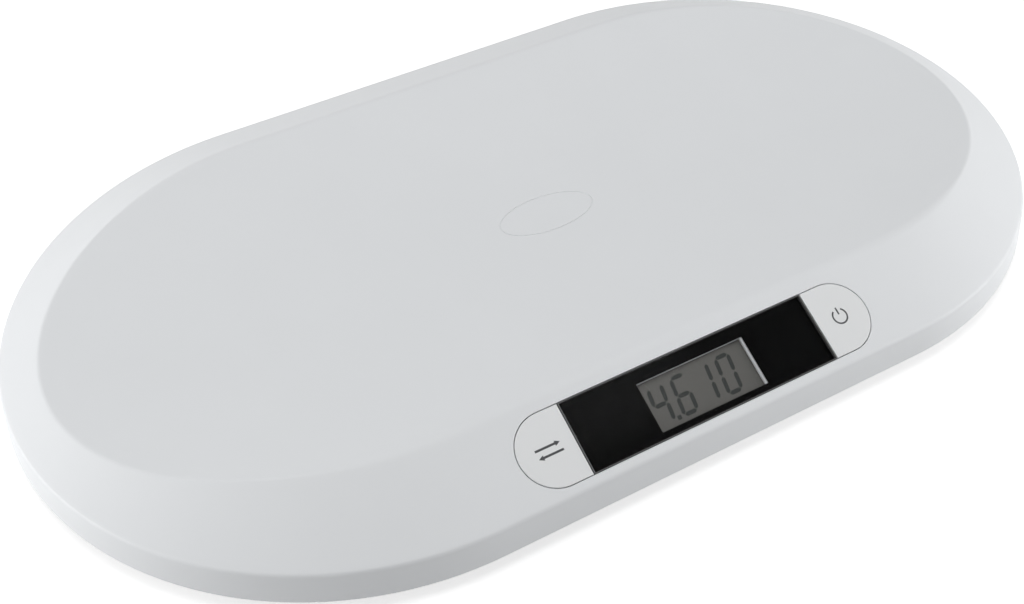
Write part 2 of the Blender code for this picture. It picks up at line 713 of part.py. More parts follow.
def lcd_frame():
    """The holder that carries the display over the board: a frame with a shelf under the glass."""
    half_x, half_y = lcd_halves()
    top = LEDGE_BOTTOM - SEAT_GAP
    shelf = top - LCD_THICKNESS - SEAT_GAP
    outer_x = half_x + SEAT_GAP + LCD_FRAME_WALL
    outer_y = half_y + SEAT_GAP + LCD_FRAME_WALL
    body = [
        rounded_rectangle(outer_x, outer_y, LCD_FRAME_WALL / 2),
        rectangle(half_x - LCD_SHELF, half_y - ZEBRA_WIDTH - 2 * SEAT_GAP - LCD_SHELF)]
    place = on_panel(LCD_SHIFT_X, LCD_SHIFT_Y)
    mesh = plate_mesh("lcd_frame", body, BOARD_TOP + SEAT_GAP, top)
    part = add_object("lcd_frame", mesh, FRAME_WHITE, place)
    seat = [rectangle(half_x + SEAT_GAP, half_y + SEAT_GAP)]
    shape = cutter("lcd_seat", plate_mesh("lcd_seat", seat, shelf, top + OVERRUN), place)
    boolean(part, "DIFFERENCE", shape)
    slot_y = half_y - LCD_SHELF / 2 - ZEBRA_WIDTH / 2
    slot = [rectangle(half_x - LCD_SHELF, ZEBRA_WIDTH / 2 + SEAT_GAP, 0.0, slot_y)]
    shape = cutter("zebra_slot", plate_mesh("zebra_slot", slot, BOARD_TOP - OVERRUN / 2, top), place)
    boolean(part, "DIFFERENCE", shape)
    return part


def zebra_strip():
    """The rubber strip that joins the display's edge to the board."""
    half_x, half_y = lcd_halves()
    slot_y = half_y - LCD_SHELF / 2 - ZEBRA_WIDTH / 2
    outline = [rectangle(half_x - LCD_SHELF - SEAT_GAP, ZEBRA_WIDTH / 2, 0.0, slot_y)]
    high = LEDGE_BOTTOM - 2 * SEAT_GAP - LCD_THICKNESS
    mesh = plate_mesh("zebra_strip", outline, BOARD_TOP + SEAT_GAP, high)
    return add_object("zebra_strip", mesh, ZEBRA_PINK, on_panel(LCD_SHIFT_X, LCD_SHIFT_Y))


def main_board():
    outlines = [rounded_rectangle(BOARD_LENGTH / 2, BOARD_DEPTH / 2, BOARD_THICKNESS)]
    hole = BOARD_SCREW_RADIUS + SEAT_GAP
    for x, y in board_post_places():
        turns = [2 * math.pi * k / SMALL_SEGMENTS for k in range(SMALL_SEGMENTS)]
        outlines.append([(x + hole * math.cos(a), y + hole * math.sin(a)) for a in turns])
    mesh = plate_mesh("main_board", outlines, BOARD_BOTTOM, BOARD_TOP)
    return add_object("main_board", mesh, BOARD_GREEN, PANEL)


def controller_chip():
    """The round blob of resin over the controller, under the board."""
    top = BOARD_BOTTOM - SEAT_GAP
    profile = [(0.0, top), (CHIP_RADIUS, top)]
    for step in range(1, 6):
        angle = step / 5 * math.pi / 2
        profile.append((CHIP_RADIUS * math.cos(angle), top - CHIP_HEIGHT * math.sin(angle)))
    profile[-1] = (0.0, top - CHIP_HEIGHT)
    return turned("controller_chip", profile, CHIP_BLACK, PANEL, SMALL_SEGMENTS)


def tact_switch(name, side):
    """A switch body on the board with a well for its plunger."""
    half = SWITCH_SIZE / 2
    low = BOARD_TOP + SEAT_GAP
    place = on_panel(side * KEY_CENTRE)
    mesh = box_mesh(name, (-half, -half, low), (half, half, SWITCH_TOP))
    part = add_object(name, mesh, SWITCH_BLACK, place)
    floor = PLUNGER_TOP - PLUNGER_LENGTH - KEY_TRAVEL - SEAT_GAP
    well = rod_mesh("plunger_well", PLUNGER_RADIUS + SEAT_GAP, floor, SWITCH_TOP + OVERRUN)
    boolean(part, "DIFFERENCE", cutter(name + "_well", well, place))
    return part


def plunger(name, side):
    mesh = rod_mesh(name, PLUNGER_RADIUS, PLUNGER_TOP - PLUNGER_LENGTH, PLUNGER_TOP)
    return add_object(name, mesh, SWITCH_BLACK, on_panel(side * KEY_CENTRE))


def key(name, side):
    """A hollow D-shaped cap with a lip under the housing and a stem over the switch."""
    place = on_panel(side * KEY_CENTRE)
    part = add_object(name, plate_mesh(name, [key_outline(side)], KEY_FLOOR, 0.0), KEY_WHITE, place)
    lip = plate_mesh(name + "_lip", [key_outline(side, KEY_LIP)], KEY_FLOOR, KEY_FLOOR + KEY_LIP_THICKNESS)
    boolean(part, "UNION", cutter(name + "_lip", lip, place))
    hollow = plate_mesh(name + "_hollow", [key_outline(side, -KEY_SIDE)], KEY_FLOOR - OVERRUN, -KEY_SKIN)
    boolean(part, "DIFFERENCE", cutter(name + "_hollow", hollow, place))
    stem = rod_mesh(name + "_stem", KEY_STEM_RADIUS, PLUNGER_TOP + SEAT_GAP, -KEY_SKIN / 2)
    boolean(part, "UNION", cutter(name + "_stem", stem, place))
    return part


def screw_profile(head_radius, head_height, shank_radius, shank_length):
    """A pan-head screw along +Z from its head at z = 0, as a top-to-bottom profile."""
    return [
        (0.0, head_height + shank_length),
        (shank_radius * 3 / 5, head_height + shank_length - shank_radius / 2),
        (shank_radius, head_height + shank_length - shank_radius * 2),
        (shank_radius, head_height),
        (head_radius, head_height),
        (head_radius, head_height / 3),
        (head_radius * 4 / 5, 0.0),
        (0.0, 0.0)]


def housing_screws():
    profile = screw_profile(SCREW_HEAD_RADIUS, SCREW_HEAD_HEIGHT, SCREW_RADIUS, SCREW_LENGTH)
    level = BASE_UNDERSIDE + SCREW_SINK - SCREW_HEAD_HEIGHT - SEAT_GAP
    for index, (x, y) in enumerate(boss_places()):
        name = "housing_screw_%d" % (index + 1)
        turned(name, profile, STEEL, Matrix.Translation((x, y, level)), SMALL_SEGMENTS)


def board_screws():
    length = BOARD_TOP - BOARD_BOTTOM + BOARD_DROP * 3 / 5
    profile = screw_profile(BOARD_SCREW_HEAD, BOARD_SCREW_HEAD_HEIGHT, BOARD_SCREW_RADIUS, length)
    level = BOARD_BOTTOM - SEAT_GAP - BOARD_SCREW_HEAD_HEIGHT
    for index, (x, y) in enumerate(board_post_places()):
        turned("board_screw_%d" % (index + 1), profile, STEEL, on_panel(x, y, level), SMALL_SEGMENTS)


def load_cell(name, x, y):
    """A steel plate whose middle tongue is cut free on three sides and carries the foot."""
    half = CELL_SIZE / 2
    inner = half - CELL_FRAME
    tongue = inner - CELL_SLOT
    neck = CELL_NECK / 2
    slot = [
        (-neck, inner), (-inner, inner), (-inner, -inner), (inner, -inner), (inner, inner), (neck, inner),
        (neck, tongue), (tongue, tongue), (tongue, -tongue), (-tongue, -tongue), (-tongue, tongue),
        (-neck, tongue)]
    outlines = [rounded_rectangle(half, half, CELL_CORNER), slot]
    low = BASE_TOP + SEAT_GAP
    mesh = plate_mesh(name, outlines, low, low + CELL_THICKNESS)
    return add_object(name, mesh, STEEL, Matrix.Translation((x, y, 0.0)))


def cell_clamp(name, x, y):
    """The plastic frame that holds the load cell down in its well."""
    half = CELL_SIZE / 2
    low = BASE_TOP + CELL_THICKNESS + 2 * SEAT_GAP
    outlines = [
        rounded_rectangle(half, half, CELL_CORNER),
        rounded_rectangle(half - CLAMP_WIDTH, half - CLAMP_WIDTH, CELL_CORNER)]
    mesh = plate_mesh(name, outlines, low, low + CLAMP_THICKNESS)
    return add_object(name, mesh, CLAMP_WHITE, Matrix.Translation((x, y, 0.0)))


def foot_cup(name, x, y):
    """The turned foot: a round disc with a seat for the pad below and a hub up to the load cell."""
    hub_top = BASE_TOP + SEAT_GAP - FOOT_TRAVEL - SEAT_GAP
    disc_top = BASE_UNDERSIDE - FOOT_TRAVEL - 2 * SEAT_GAP
    seat = PAD_HEIGHT + SEAT_GAP
    rim = seat - PAD_SINK
    profile = [
        (0.0, hub_top), (FOOT_HUB_RADIUS, hub_top), (FOOT_HUB_RADIUS, disc_top),
        (FOOT_RADIUS - FOOT_ROUND, disc_top), (FOOT_RADIUS, disc_top - FOOT_ROUND),
        (FOOT_RADIUS, rim + FOOT_ROUND), (FOOT_RADIUS - FOOT_ROUND, rim),
        (PAD_RADIUS + SEAT_GAP, rim), (PAD_RADIUS + SEAT_GAP, seat), (0.0, seat)]
    return turned(name, profile, CUP_GREY, Matrix.Translation((x, y, 0.0)))


def foot_pad(name, x, y):
    profile = [
        (0.0, PAD_HEIGHT), (PAD_RADIUS, PAD_HEIGHT), (PAD_RADIUS, PAD_ROUND), (PAD_RADIUS - PAD_ROUND, 0.0),
        (0.0, 0.0)]
    return turned(name, profile, PAD_RUBBER, Matrix.Translation((x, y, 0.0)))


def weighing_feet():
    for index, (x, y) in enumerate(foot_places()):
        number = index + 1
        load_cell("load_cell_%d" % number, x, y)
        cell_clamp("cell_clamp_%d" % number, x, y)
        foot_cup("foot_cup_%d" % number, x, y)
        foot_pad("foot_pad_%d" % number, x, y)


def battery(name, side):
    """An AAA cell along X; its nipple points to -X on the near cell and to +X on the far one."""
    body = BATTERY_LENGTH - NIPPLE_HEIGHT
    edge = BATTERY_RADIUS / 12
    profile = [
        (0.0, BATTERY_LENGTH), (NIPPLE_RADIUS, BATTERY_LENGTH), (NIPPLE_RADIUS, body),
        (BATTERY_RADIUS - edge, body), (BATTERY_RADIUS, body - edge),
        (BATTERY_RADIUS, edge), (BATTERY_RADIUS - edge, 0.0), (0.0, 0.0)]
    start = -BAY_HALF_LENGTH + SPRING_LENGTH + CONTACT_THICKNESS + 3 * SEAT_GAP
    place = Matrix.Translation((side * start, side * BATTERY_PITCH / 2, BATTERY_Z))
    place = place @ Matrix.Rotation(side * math.pi / 2, 4, "Y")
    return turned(name, profile, BATTERY_SKIN, place)


def contact_plate(name, end, half_width, y):
    """A spring-steel plate on the bay's end wall, above the swing of the door's tabs."""
    outline = [rounded_rectangle(half_width, CONTACT_HEIGHT / 2, CONTACT_HEIGHT / 7)]
    mesh = plate_mesh(name, outline, -CONTACT_THICKNESS / 2, CONTACT_THICKNESS / 2)
    place = Matrix.Translation((end * CONTACT_MID, y, BATTERY_Z))
    place = place @ Matrix.Rotation(math.pi / 2, 4, "Z") @ Matrix.Rotation(math.pi / 2, 4, "X")
    return add_object(name, mesh, PLATED, place)


def wire(name, points, radius, paint, resolution=2, matrix=None):
    """A round wire through the points, with filled ends."""
    curve = bpy.data.curves.new(name, "CURVE")
    curve.dimensions = "3D"
    curve.bevel_depth = radius
    curve.bevel_resolution = resolution
    curve.use_fill_caps = True
    spline = curve.splines.new("POLY")
    spline.points.add(len(points) - 1)
    for point, place in zip(spline.points, points):
        point.co = (*place, 1.0)
    curve.materials.append(paint)
    part = bpy.data.objects.new(name, curve)
    SCALE.objects.link(part)
    if matrix:
        part.matrix_world = matrix
    return part


def battery_spring(name, side):
    """A conical coil between a contact plate and the flat end of a cell, along X."""
    count = SPRING_TURNS * SPRING_TURN_POINTS
    start = SPRING_WIRE_RADIUS
    rise = SPRING_LENGTH - 2 * SPRING_WIRE_RADIUS
    points = []
    for step in range(count + 1):
        share = step / count
        radius = SPRING_RADIUS + (SPRING_TOP_RADIUS - SPRING_RADIUS) * share
        angle = 2 * math.pi * SPRING_TURNS * share
        points.append((radius * math.cos(angle), radius * math.sin(angle), start + rise * share))
    seat = BAY_HALF_LENGTH - CONTACT_THICKNESS - 2 * SEAT_GAP
    place = Matrix.Translation((-side * seat, side * BATTERY_PITCH / 2, BATTERY_Z))
    place = place @ Matrix.Rotation(side * math.pi / 2, 4, "Y")
    return wire(name, points, SPRING_WIRE_RADIUS, PLATED, 1, place)


def battery_set():
    for number, side in ((1, 1), (2, -1)):
        battery("battery_%d" % number, side)
        battery_spring("battery_spring_%d" % number, side)
    contact_plate("battery_bridge", -1, BATTERY_PITCH / 2 + CONTACT_WIDTH / 2, 0.0)
    contact_plate("contact_plus", 1, CONTACT_WIDTH / 2, BATTERY_PITCH / 2)
    contact_plate("contact_minus", 1, CONTACT_WIDTH / 2, -BATTERY_PITCH / 2)


def battery_door():
    """The hatch under the bay. Two tabs hook over the housing's lip and it swings down about that edge."""
    place = Matrix.Translation((DOOR_HINGE_X, 0.0, BASE_UNDERSIDE))
    length = BAY_HALF_LENGTH - DOOR_HINGE_X - SEAT_GAP
    half_width = BAY_HALF_WIDTH - SEAT_GAP
    plate = box_mesh("battery_door", (SEAT_GAP, -half_width, 0.0), (length, half_width, DOOR_THICKNESS))
    part = add_object("battery_door", plate, BASE_WHITE, place)
    joins = group_of("battery_door_joins")
    tab_low = BASE_FLOOR + SEAT_GAP
    tab_top = tab_low + TAB_THICKNESS
    for side in (-1, 1):
        edge = side * half_width
        inner = side * (half_width - TAB_WIDTH)
        near, far = min(edge, inner), max(edge, inner)
        low = (SEAT_GAP, near, DOOR_THICKNESS / 2)
        high = (SEAT_GAP + TAB_RISER, far, tab_top)
        cutter("tab_riser_%d" % (side + 2), box_mesh("tab_riser", low, high), place, joins)
        low = (-TAB_REACH, near, tab_low)
        high = (SEAT_GAP + TAB_RISER / 2, far, tab_top)
        cutter("tab_hook_%d" % (side + 2), box_mesh("tab_hook", low, high), place, joins)
    low = (length - LATCH_THICKNESS, -LATCH_WIDTH / 2, DOOR_THICKNESS / 2)
    high = (length, LATCH_WIDTH / 2, DOOR_THICKNESS + LATCH_HEIGHT)
    cutter("latch_tongue", box_mesh("latch_tongue", low, high), place, joins)
    boolean(part, "UNION", joins)
    cuts = group_of("battery_door_cuts")
    for row in range(GRIP_GROOVES):
        middle = length - NOTCH_RADIUS / 2 - row * GRIP_PITCH
        low = (middle - GRIP_DEPTH, -GRIP_LENGTH / 2, -OVERRUN)
        high = (middle + GRIP_DEPTH, GRIP_LENGTH / 2, GRIP_DEPTH)
        cutter("grip_groove_%d" % (row + 1), box_mesh("grip_groove", low, high), place, cuts)
    boolean(part, "DIFFERENCE", cuts)
    return part


def smooth_route(stops, spacing):
    """Points on a Catmull-Rom curve through the stops, about one every spacing."""
    knots = [Vector(stop) for stop in stops]
    knots = [knots[0] * 2 - knots[1]] + knots + [knots[-1] * 2 - knots[-2]]
    points = [knots[1]]
    for a, b, c, d in zip(knots, knots[1:], knots[2:], knots[3:]):
        count = max(2, round((c - b).length / spacing))
        for step in range(1, count + 1):
            t = step / count
            first = (b * 2) + (c - a) * t
            rest = (a * 2 - b * 5 + c * 4 - d) * (t * t) + (b * 3 - a - c * 3 + d) * (t * t * t)
            points.append((first + rest) / 2)
    return points


def board_pad(x):
    """Where a lead ends, just under the upper edge of the board."""
    under = BOARD_BOTTOM - SEAT_GAP - LEAD_RADIUS
    return (PANEL @ Vector((x, BOARD_DEPTH / 2 - BOARD_THICKNESS, under))).to_tuple()


def cell_lead_stops(x, y):
    """The way from a load cell over its well and round the screw bosses to the board."""
    side = 1 if x > 0 else -1
    on_cell = BASE_TOP + CELL_THICKNESS + 2 * SEAT_GAP + LEAD_RADIUS
    window = CELL_SIZE / 2 - CLAMP_WIDTH - 2 * LEAD_RADIUS
    stops = [
        (x - side * window / 2, y, on_cell),
        (x - side * window, y, on_cell + CLAMP_THICKNESS),
        (x - side * (CELL_SIZE / 2 + WELL_WALL), y, LEAD_LEVEL)]
    if y < 0:
        end = board_pad(side * (BOARD_LENGTH / 2 - 3 * LEAD_RADIUS))
        stops.append((side * (BOSS_SIDE_X + 2 * BOSS_RADIUS), y - 3 * BOSS_RADIUS, LEAD_LEVEL))
        stops.append((end[0] + side * 4 * BOSS_RADIUS, end[1] + BOSS_RADIUS, (end[2] + LEAD_LEVEL) / 2))
    else:
        end = board_pad(side * (BOARD_LENGTH / 2 - 9 * LEAD_RADIUS))
        stops.append((side * (BOSS_SIDE_X + 3 * BOSS_RADIUS), 0.0, LEAD_LEVEL))
        stops.append((side * (BOSS_SIDE_X - 5 * BOSS_RADIUS), BOSS_RADIUS - BOSS_SIDE_Y, LEAD_LEVEL))
        stops.append((end[0], end[1] + 3 * BOSS_RADIUS, (end[2] + LEAD_LEVEL) / 2))
    return stops + [end]


def battery_lead_stops(side):
    """The way from a battery contact's wall to the board."""
    wall = BAY_HALF_LENGTH + BAY_WALL + SEAT_GAP
    y = side * BATTERY_PITCH / 2
    end = board_pad(BOARD_LENGTH / 4 + side * 6 * LEAD_RADIUS)
    return [
        (wall, y, BATTERY_Z),
        (wall + 2 * BOSS_RADIUS, y, BATTERY_Z),
        (end[0] - 2 * BOSS_RADIUS, -BOSS_SIDE_Y / 2, LEAD_LEVEL),
        (end[0], end[1] + 4 * BOSS_RADIUS, LEAD_LEVEL),
        end]


def leads():
    """The leads from the four load cells and the battery contacts to the board."""
    for index, (x, y) in enumerate(foot_places()):
        route = smooth_route(cell_lead_stops(x, y), LEAD_SPACING)
        wire("cell_lead_%d" % (index + 1), route, LEAD_RADIUS, LEAD_WHITE)
    for side, name, paint in ((1, "battery_lead_plus", LEAD_RED), (-1, "battery_lead_minus", LEAD_BLACK)):
        wire(name, smooth_route(battery_lead_stops(side), LEAD_SPACING), LEAD_RADIUS, paint)


def build_scale():
    top_shell()
    bottom_shell()
    display_lens()
    lens_mask()
    lcd_glass()
    lcd_frame()
    zebra_strip()
    main_board()
    controller_chip()
    for side, name in ((-1, "unit"), (1, "power")):
        tact_switch(name + "_switch", side)
        plunger(name + "_plunger", side)
        key(name + "_key", side)
    housing_screws()
    board_screws()
    weighing_feet()
    battery_set()
    battery_door()
    leads()


build_scale()
bpy.context.view_layer.update()
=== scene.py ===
import math

import bmesh
import bpy
import numpy as np
from mathutils import Matrix, Vector


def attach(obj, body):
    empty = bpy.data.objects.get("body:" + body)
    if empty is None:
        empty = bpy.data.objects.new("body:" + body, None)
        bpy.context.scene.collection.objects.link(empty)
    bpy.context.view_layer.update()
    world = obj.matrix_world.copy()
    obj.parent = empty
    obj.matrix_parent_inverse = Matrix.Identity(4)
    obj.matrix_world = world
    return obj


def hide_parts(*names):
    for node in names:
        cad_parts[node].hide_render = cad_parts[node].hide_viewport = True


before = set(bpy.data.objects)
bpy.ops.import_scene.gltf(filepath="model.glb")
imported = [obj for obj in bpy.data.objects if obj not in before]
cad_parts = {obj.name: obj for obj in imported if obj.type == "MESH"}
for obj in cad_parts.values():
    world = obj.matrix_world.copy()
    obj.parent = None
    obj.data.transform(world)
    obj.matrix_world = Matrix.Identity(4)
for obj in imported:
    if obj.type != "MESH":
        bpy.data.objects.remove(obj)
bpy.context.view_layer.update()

# Camera: a studio view from above and the near left, fitted to the photographed outline of
# the scale in metres and degrees.
CAMERA_PLACE = (-0.28991, -0.49731, 0.50917)
CAMERA_TURN = math.radians(-30.24041)
CAMERA_RISE = math.radians(40.35709)
CAMERA_ROLL = math.radians(-0.87061)
CAMERA_LENS = 51.35
CAMERA_SENSOR = 36.0
CAMERA_SHIFT_X = -0.02815
CAMERA_SHIFT_Y = -0.07003


def camera_matrix():
    """The camera's axes from its turn, rise and roll: right, up and backwards as columns."""
    back = Vector((
        math.sin(CAMERA_TURN) * math.cos(CAMERA_RISE),
        -math.cos(CAMERA_TURN) * math.cos(CAMERA_RISE),
        math.sin(CAMERA_RISE)))
    level = Vector((math.cos(CAMERA_TURN), math.sin(CAMERA_TURN), 0.0))
    rise = back.cross(level)
    right = level * math.cos(CAMERA_ROLL) + rise * math.sin(CAMERA_ROLL)
    up = rise * math.cos(CAMERA_ROLL) - level * math.sin(CAMERA_ROLL)
    turn = Matrix((right, up, back)).transposed()
    return Matrix.Translation(CAMERA_PLACE) @ turn.to_4x4()


def build_camera():
    """The photograph's camera, at its fitted place and with its small shift."""
    data = bpy.data.cameras.new("camera")
    data.sensor_width = CAMERA_SENSOR
    data.lens = CAMERA_LENS
    data.shift_x = CAMERA_SHIFT_X
    data.shift_y = CAMERA_SHIFT_Y
    camera = bpy.data.objects.new("camera", data)
    camera.matrix_world = camera_matrix()
    bpy.context.scene.collection.objects.link(camera)
    bpy.context.scene.camera = camera


build_camera()

# Light: low soft lamps at both ends of the tray and one overhead, with weak ones before and
# behind it, in a dim even world. The world and floor show white to the camera and in gloss.
WORLD_LIGHT = 0.14
WORLD_WHITE = 1.0
WORLD_TINT = (0.97, 0.985, 1.0, 1.0)
WHITE = (1.0, 1.0, 1.0, 1.0)
LAMP_TARGET = (0.0, 0.0, 0.02)
LAMPS = {
    "left_lamp": ((-1.10, 0.30, 0.26), (1.1, 0.6), 8.6),
    "right_lamp": ((1.00, -0.55, 0.26), (1.0, 0.5), 5.7),
    "front_lamp": ((0.75, -0.95, 0.40), (0.7, 0.7), 1.6),
    "back_lamp": ((0.0, 1.10, 0.42), (1.4, 0.8), 0.7),
    "top_lamp": ((0.0, 0.0, 1.25), (1.2, 1.0), 8.1),
}
FLOOR_SIZE = 6.0
FLOOR_SEGMENTS = 24
FLOOR_COLOUR = (0.80, 0.80, 0.80)
FLOOR_LIFT = 0.60
FLOOR_NEAR = 0.45
FLOOR_FAR = 1.30


def new_nodes(tree):
    """The nodes and links of a tree that is emptied first."""
    tree.nodes.clear()
    return tree.nodes, tree.links


def background_ray(nodes, links):
    """One where a camera, glossy or transmission ray looks, zero for the rays that light the object."""
    path = nodes.new("ShaderNodeLightPath")
    seen = path.outputs["Is Camera Ray"]
    for ray in ("Is Glossy Ray", "Is Transmission Ray"):
        either = nodes.new("ShaderNodeMath")
        either.operation = "MAXIMUM"
        links.new(seen, either.inputs[0])
        links.new(path.outputs[ray], either.inputs[1])
        seen = either.outputs["Value"]
    return seen


def build_world():
    """A dim even light on the object, and plain white for what looks at the background."""
    world = bpy.data.worlds.new("studio")
    world.use_nodes = True
    nodes, links = new_nodes(world.node_tree)
    output = nodes.new("ShaderNodeOutputWorld")
    light = nodes.new("ShaderNodeBackground")
    light.inputs["Strength"].default_value = WORLD_LIGHT
    light.inputs["Color"].default_value = WORLD_TINT
    white = nodes.new("ShaderNodeBackground")
    white.inputs["Strength"].default_value = WORLD_WHITE
    white.inputs["Color"].default_value = WHITE
    mix = nodes.new("ShaderNodeMixShader")
    links.new(background_ray(nodes, links), mix.inputs["Fac"])
    links.new(light.outputs["Background"], mix.inputs[1])
    links.new(white.outputs["Background"], mix.inputs[2])
    links.new(mix.outputs["Shader"], output.inputs["Surface"])
    bpy.context.scene.world = world


def build_lamps():
    """One rectangular lamp for each row of LAMPS: place, size and power, turned to the target."""
    for name, (place, size, power) in LAMPS.items():
        data = bpy.data.lights.new(name, "AREA")
        data.shape = "RECTANGLE"
        data.size, data.size_y = size
        data.energy = power
        lamp = bpy.data.objects.new(name, data)
        way = Vector(place) - Vector(LAMP_TARGET)
        lamp.matrix_world = Matrix.Translation(place) @ way.to_track_quat("Z", "Y").to_matrix().to_4x4()
        bpy.context.scene.collection.objects.link(lamp)


def build_floor():
    """A flat grid at z = 0 whose white is lifted for the camera, so that only a soft shadow shows.

    The lift runs from FLOOR_LIFT near the middle to one further out, by the distance from the
    middle, and the floor lets through what looks at it from below."""
    across = np.linspace(-FLOOR_SIZE / 2, FLOOR_SIZE / 2, FLOOR_SEGMENTS + 1)
    x, y = np.meshgrid(across, across)
    points = np.stack([x.ravel(), y.ravel(), np.zeros(x.size)], axis=1)
    corner = np.arange(FLOOR_SEGMENTS)[:, None] * (FLOOR_SEGMENTS + 1) + np.arange(FLOOR_SEGMENTS)[None, :]
    start = corner.ravel()
    faces = np.stack([start, start + 1, start + FLOOR_SEGMENTS + 2, start + FLOOR_SEGMENTS + 1], axis=1)
    mesh = bpy.data.meshes.new("floor")
    mesh.from_pydata(points.tolist(), [], faces.tolist())
    paint = bpy.data.materials.new("floor_paper")
    paint.use_nodes = True
    nodes, links = new_nodes(paint.node_tree)
    output = nodes.new("ShaderNodeOutputMaterial")
    paper = nodes.new("ShaderNodeBsdfDiffuse")
    paper.inputs["Color"].default_value = (*FLOOR_COLOUR, 1.0)
    lift = nodes.new("ShaderNodeEmission")
    share = nodes.new("ShaderNodeMath")
    share.operation = "MULTIPLY"
    place = nodes.new("ShaderNodeTexCoord")
    away = nodes.new("ShaderNodeVectorMath")
    away.operation = "LENGTH"
    links.new(place.outputs["Object"], away.inputs[0])
    fade = nodes.new("ShaderNodeMapRange")
    fade.inputs["From Min"].default_value = FLOOR_NEAR
    fade.inputs["From Max"].default_value = FLOOR_FAR
    fade.inputs["To Min"].default_value = FLOOR_LIFT
    fade.inputs["To Max"].default_value = WORLD_WHITE
    links.new(away.outputs["Value"], fade.inputs["Value"])
    links.new(fade.outputs["Result"], share.inputs[1])
    links.new(background_ray(nodes, links), share.inputs[0])
    links.new(share.outputs["Value"], lift.inputs["Strength"])
    both = nodes.new("ShaderNodeAddShader")
    links.new(paper.outputs["BSDF"], both.inputs[0])
    links.new(lift.outputs["Emission"], both.inputs[1])
    side = nodes.new("ShaderNodeNewGeometry")
    clear = nodes.new("ShaderNodeBsdfTransparent")
    facing = nodes.new("ShaderNodeMixShader")
    links.new(side.outputs["Backfacing"], facing.inputs["Fac"])
    links.new(both.outputs["Shader"], facing.inputs[1])
    links.new(clear.outputs["BSDF"], facing.inputs[2])
    links.new(facing.outputs["Shader"], output.inputs["Surface"])
    mesh.materials.append(paint)
    floor = bpy.data.objects.new("floor", mesh)
    bpy.context.scene.collection.objects.link(floor)


bpy.context.scene.view_settings.view_transform = "Standard"
build_world()
build_lamps()
build_floor()

# Top housing: one injection-moulded white ABS shell with a trough-shaped tray, a rounded
# crest, a sloping skirt and a low wall. It hooks over the base and is opened for the display
# lens and the two keys. This fine shell stands for the coarser solid, with a sharper crest.
HALF_LENGTH = 0.274
HALF_WIDTH = 0.16075
SPINE_HALF = HALF_LENGTH - HALF_WIDTH
WALL_DRAFT = 0.001
RIM_HEIGHT = 0.008
RIM_ROUND = 0.0007
CORNER_HEIGHT = 0.0240
ROLL_DOWN = 0.0020
ROLL_OUT = 0.0014
SKIRT_ANGLE = math.radians(26.3)
TRAY_HEIGHT = 0.0332
TRAY_RADIUS = 0.584
CREST_ROLL_END = 0.0011
CREST_ROLL_SIDE = 0.0030
CREST_WIDENING = 0.75
SHELL_WALL = 0.0025
GUARD = 0.0012
END_STEPS = 72
ROLL_STEPS = 9
CREST_STEPS = 9
SKIRT_STEPS = 3
TRAY_STEPS = 26
RIM_STEPS = 3
SHARP_TURN = math.radians(28.0)
HALVINGS = 40
ROUNDING = 1e-9

PANEL_INSET = 0.0045
PANEL_DEPTH = 0.0346
PANEL_HALF = PANEL_DEPTH / 2
PANEL_MID_INSET = PANEL_INSET + PANEL_HALF * math.cos(SKIRT_ANGLE)
PANEL_MARGIN = 0.003
LENS_LENGTH = 0.1322
LENS_THICKNESS = 0.0015
MASK_THICKNESS = 0.00025
SEAT_GAP = 0.0003
SLIDE_GAP = 0.0004
OVERRUN = 0.004
LEDGE_TOP = -(LENS_THICKNESS + MASK_THICKNESS + 2 * SEAT_GAP)
LEDGE_THICKNESS = 0.0014
LEDGE_BOTTOM = LEDGE_TOP - LEDGE_THICKNESS
KEY_SEAM = 0.0005
KEY_START = LENS_LENGTH / 2 + KEY_SEAM
KEY_REACH = 0.0278
KEY_CENTRE = KEY_START + KEY_REACH / 2
SWITCH_INSET = 0.01285
SWITCH_CENTRE = KEY_START + SWITCH_INSET
KEY_ARC_STEPS = 40
EDGE_BREAK = 0.00018
VIEW_HALF_X = 0.02845
VIEW_HALF_Y = 0.0122
VIEW_SHIFT_X = 0.00025
VIEW_SHIFT_Y = -0.0014

ABS_WHITE = (0.79, 0.805, 0.82)
ABS_GLAZE = 0.50
CLOUD_SCALE = 22.0
CLOUD_DARK = 0.97
GLOSS_SCALE = 140.0
GLOSS_SPREAD = 0.05
GRAIN_SCALE = 2600.0
GRAIN_DEPTH = 0.000012
GRAIN_DETAIL = 2.0
NOISE_DETAIL = 3.0
MARK_HALF_LENGTH = 0.0262
MARK_HALF_WIDTH = 0.0132
MARK_MIDDLE = (0.0015, -0.0035)
MARK_LINE = 0.0006
MARK_DEPTH = 0.00022
MARK_POINTS = 96


def skirt_height(inset):
    """Height = corner height + inset times the tangent of the skirt's slope."""
    return CORNER_HEIGHT + inset * math.tan(SKIRT_ANGLE)


def tray_height(y):
    """Height = the tray's lowest line + y squared over twice the trough's radius."""
    return TRAY_HEIGHT + y * y / (2 * TRAY_RADIUS)


def bend(first, corner, last, share):
    """A quadratic curve: first (1-s)^2 + corner 2s(1-s) + last s^2, for arrays of shares s."""
    keep = 1 - share
    return first * (keep * keep) + corner * (2 * share * keep) + last * (share * share)


def outline_stations():
    """Spine x and outward way of each station: a half turn at each end, two guards on each side."""
    turn = np.linspace(-math.pi / 2, math.pi / 2, END_STEPS + 1)
    sides = np.array([SPINE_HALF - GUARD, GUARD - SPINE_HALF])
    spine = np.concatenate([
        np.full(turn.size, SPINE_HALF), sides, np.full(turn.size, -SPINE_HALF), -sides])
    way_x = np.concatenate([np.cos(turn), np.zeros(2), -np.cos(turn), np.zeros(2)])
    way_y = np.concatenate([np.sin(turn), np.ones(2), -np.sin(turn), -np.ones(2)])
    way_x[np.abs(way_x) < ROUNDING] = 0.0
    return spine, way_x, way_y


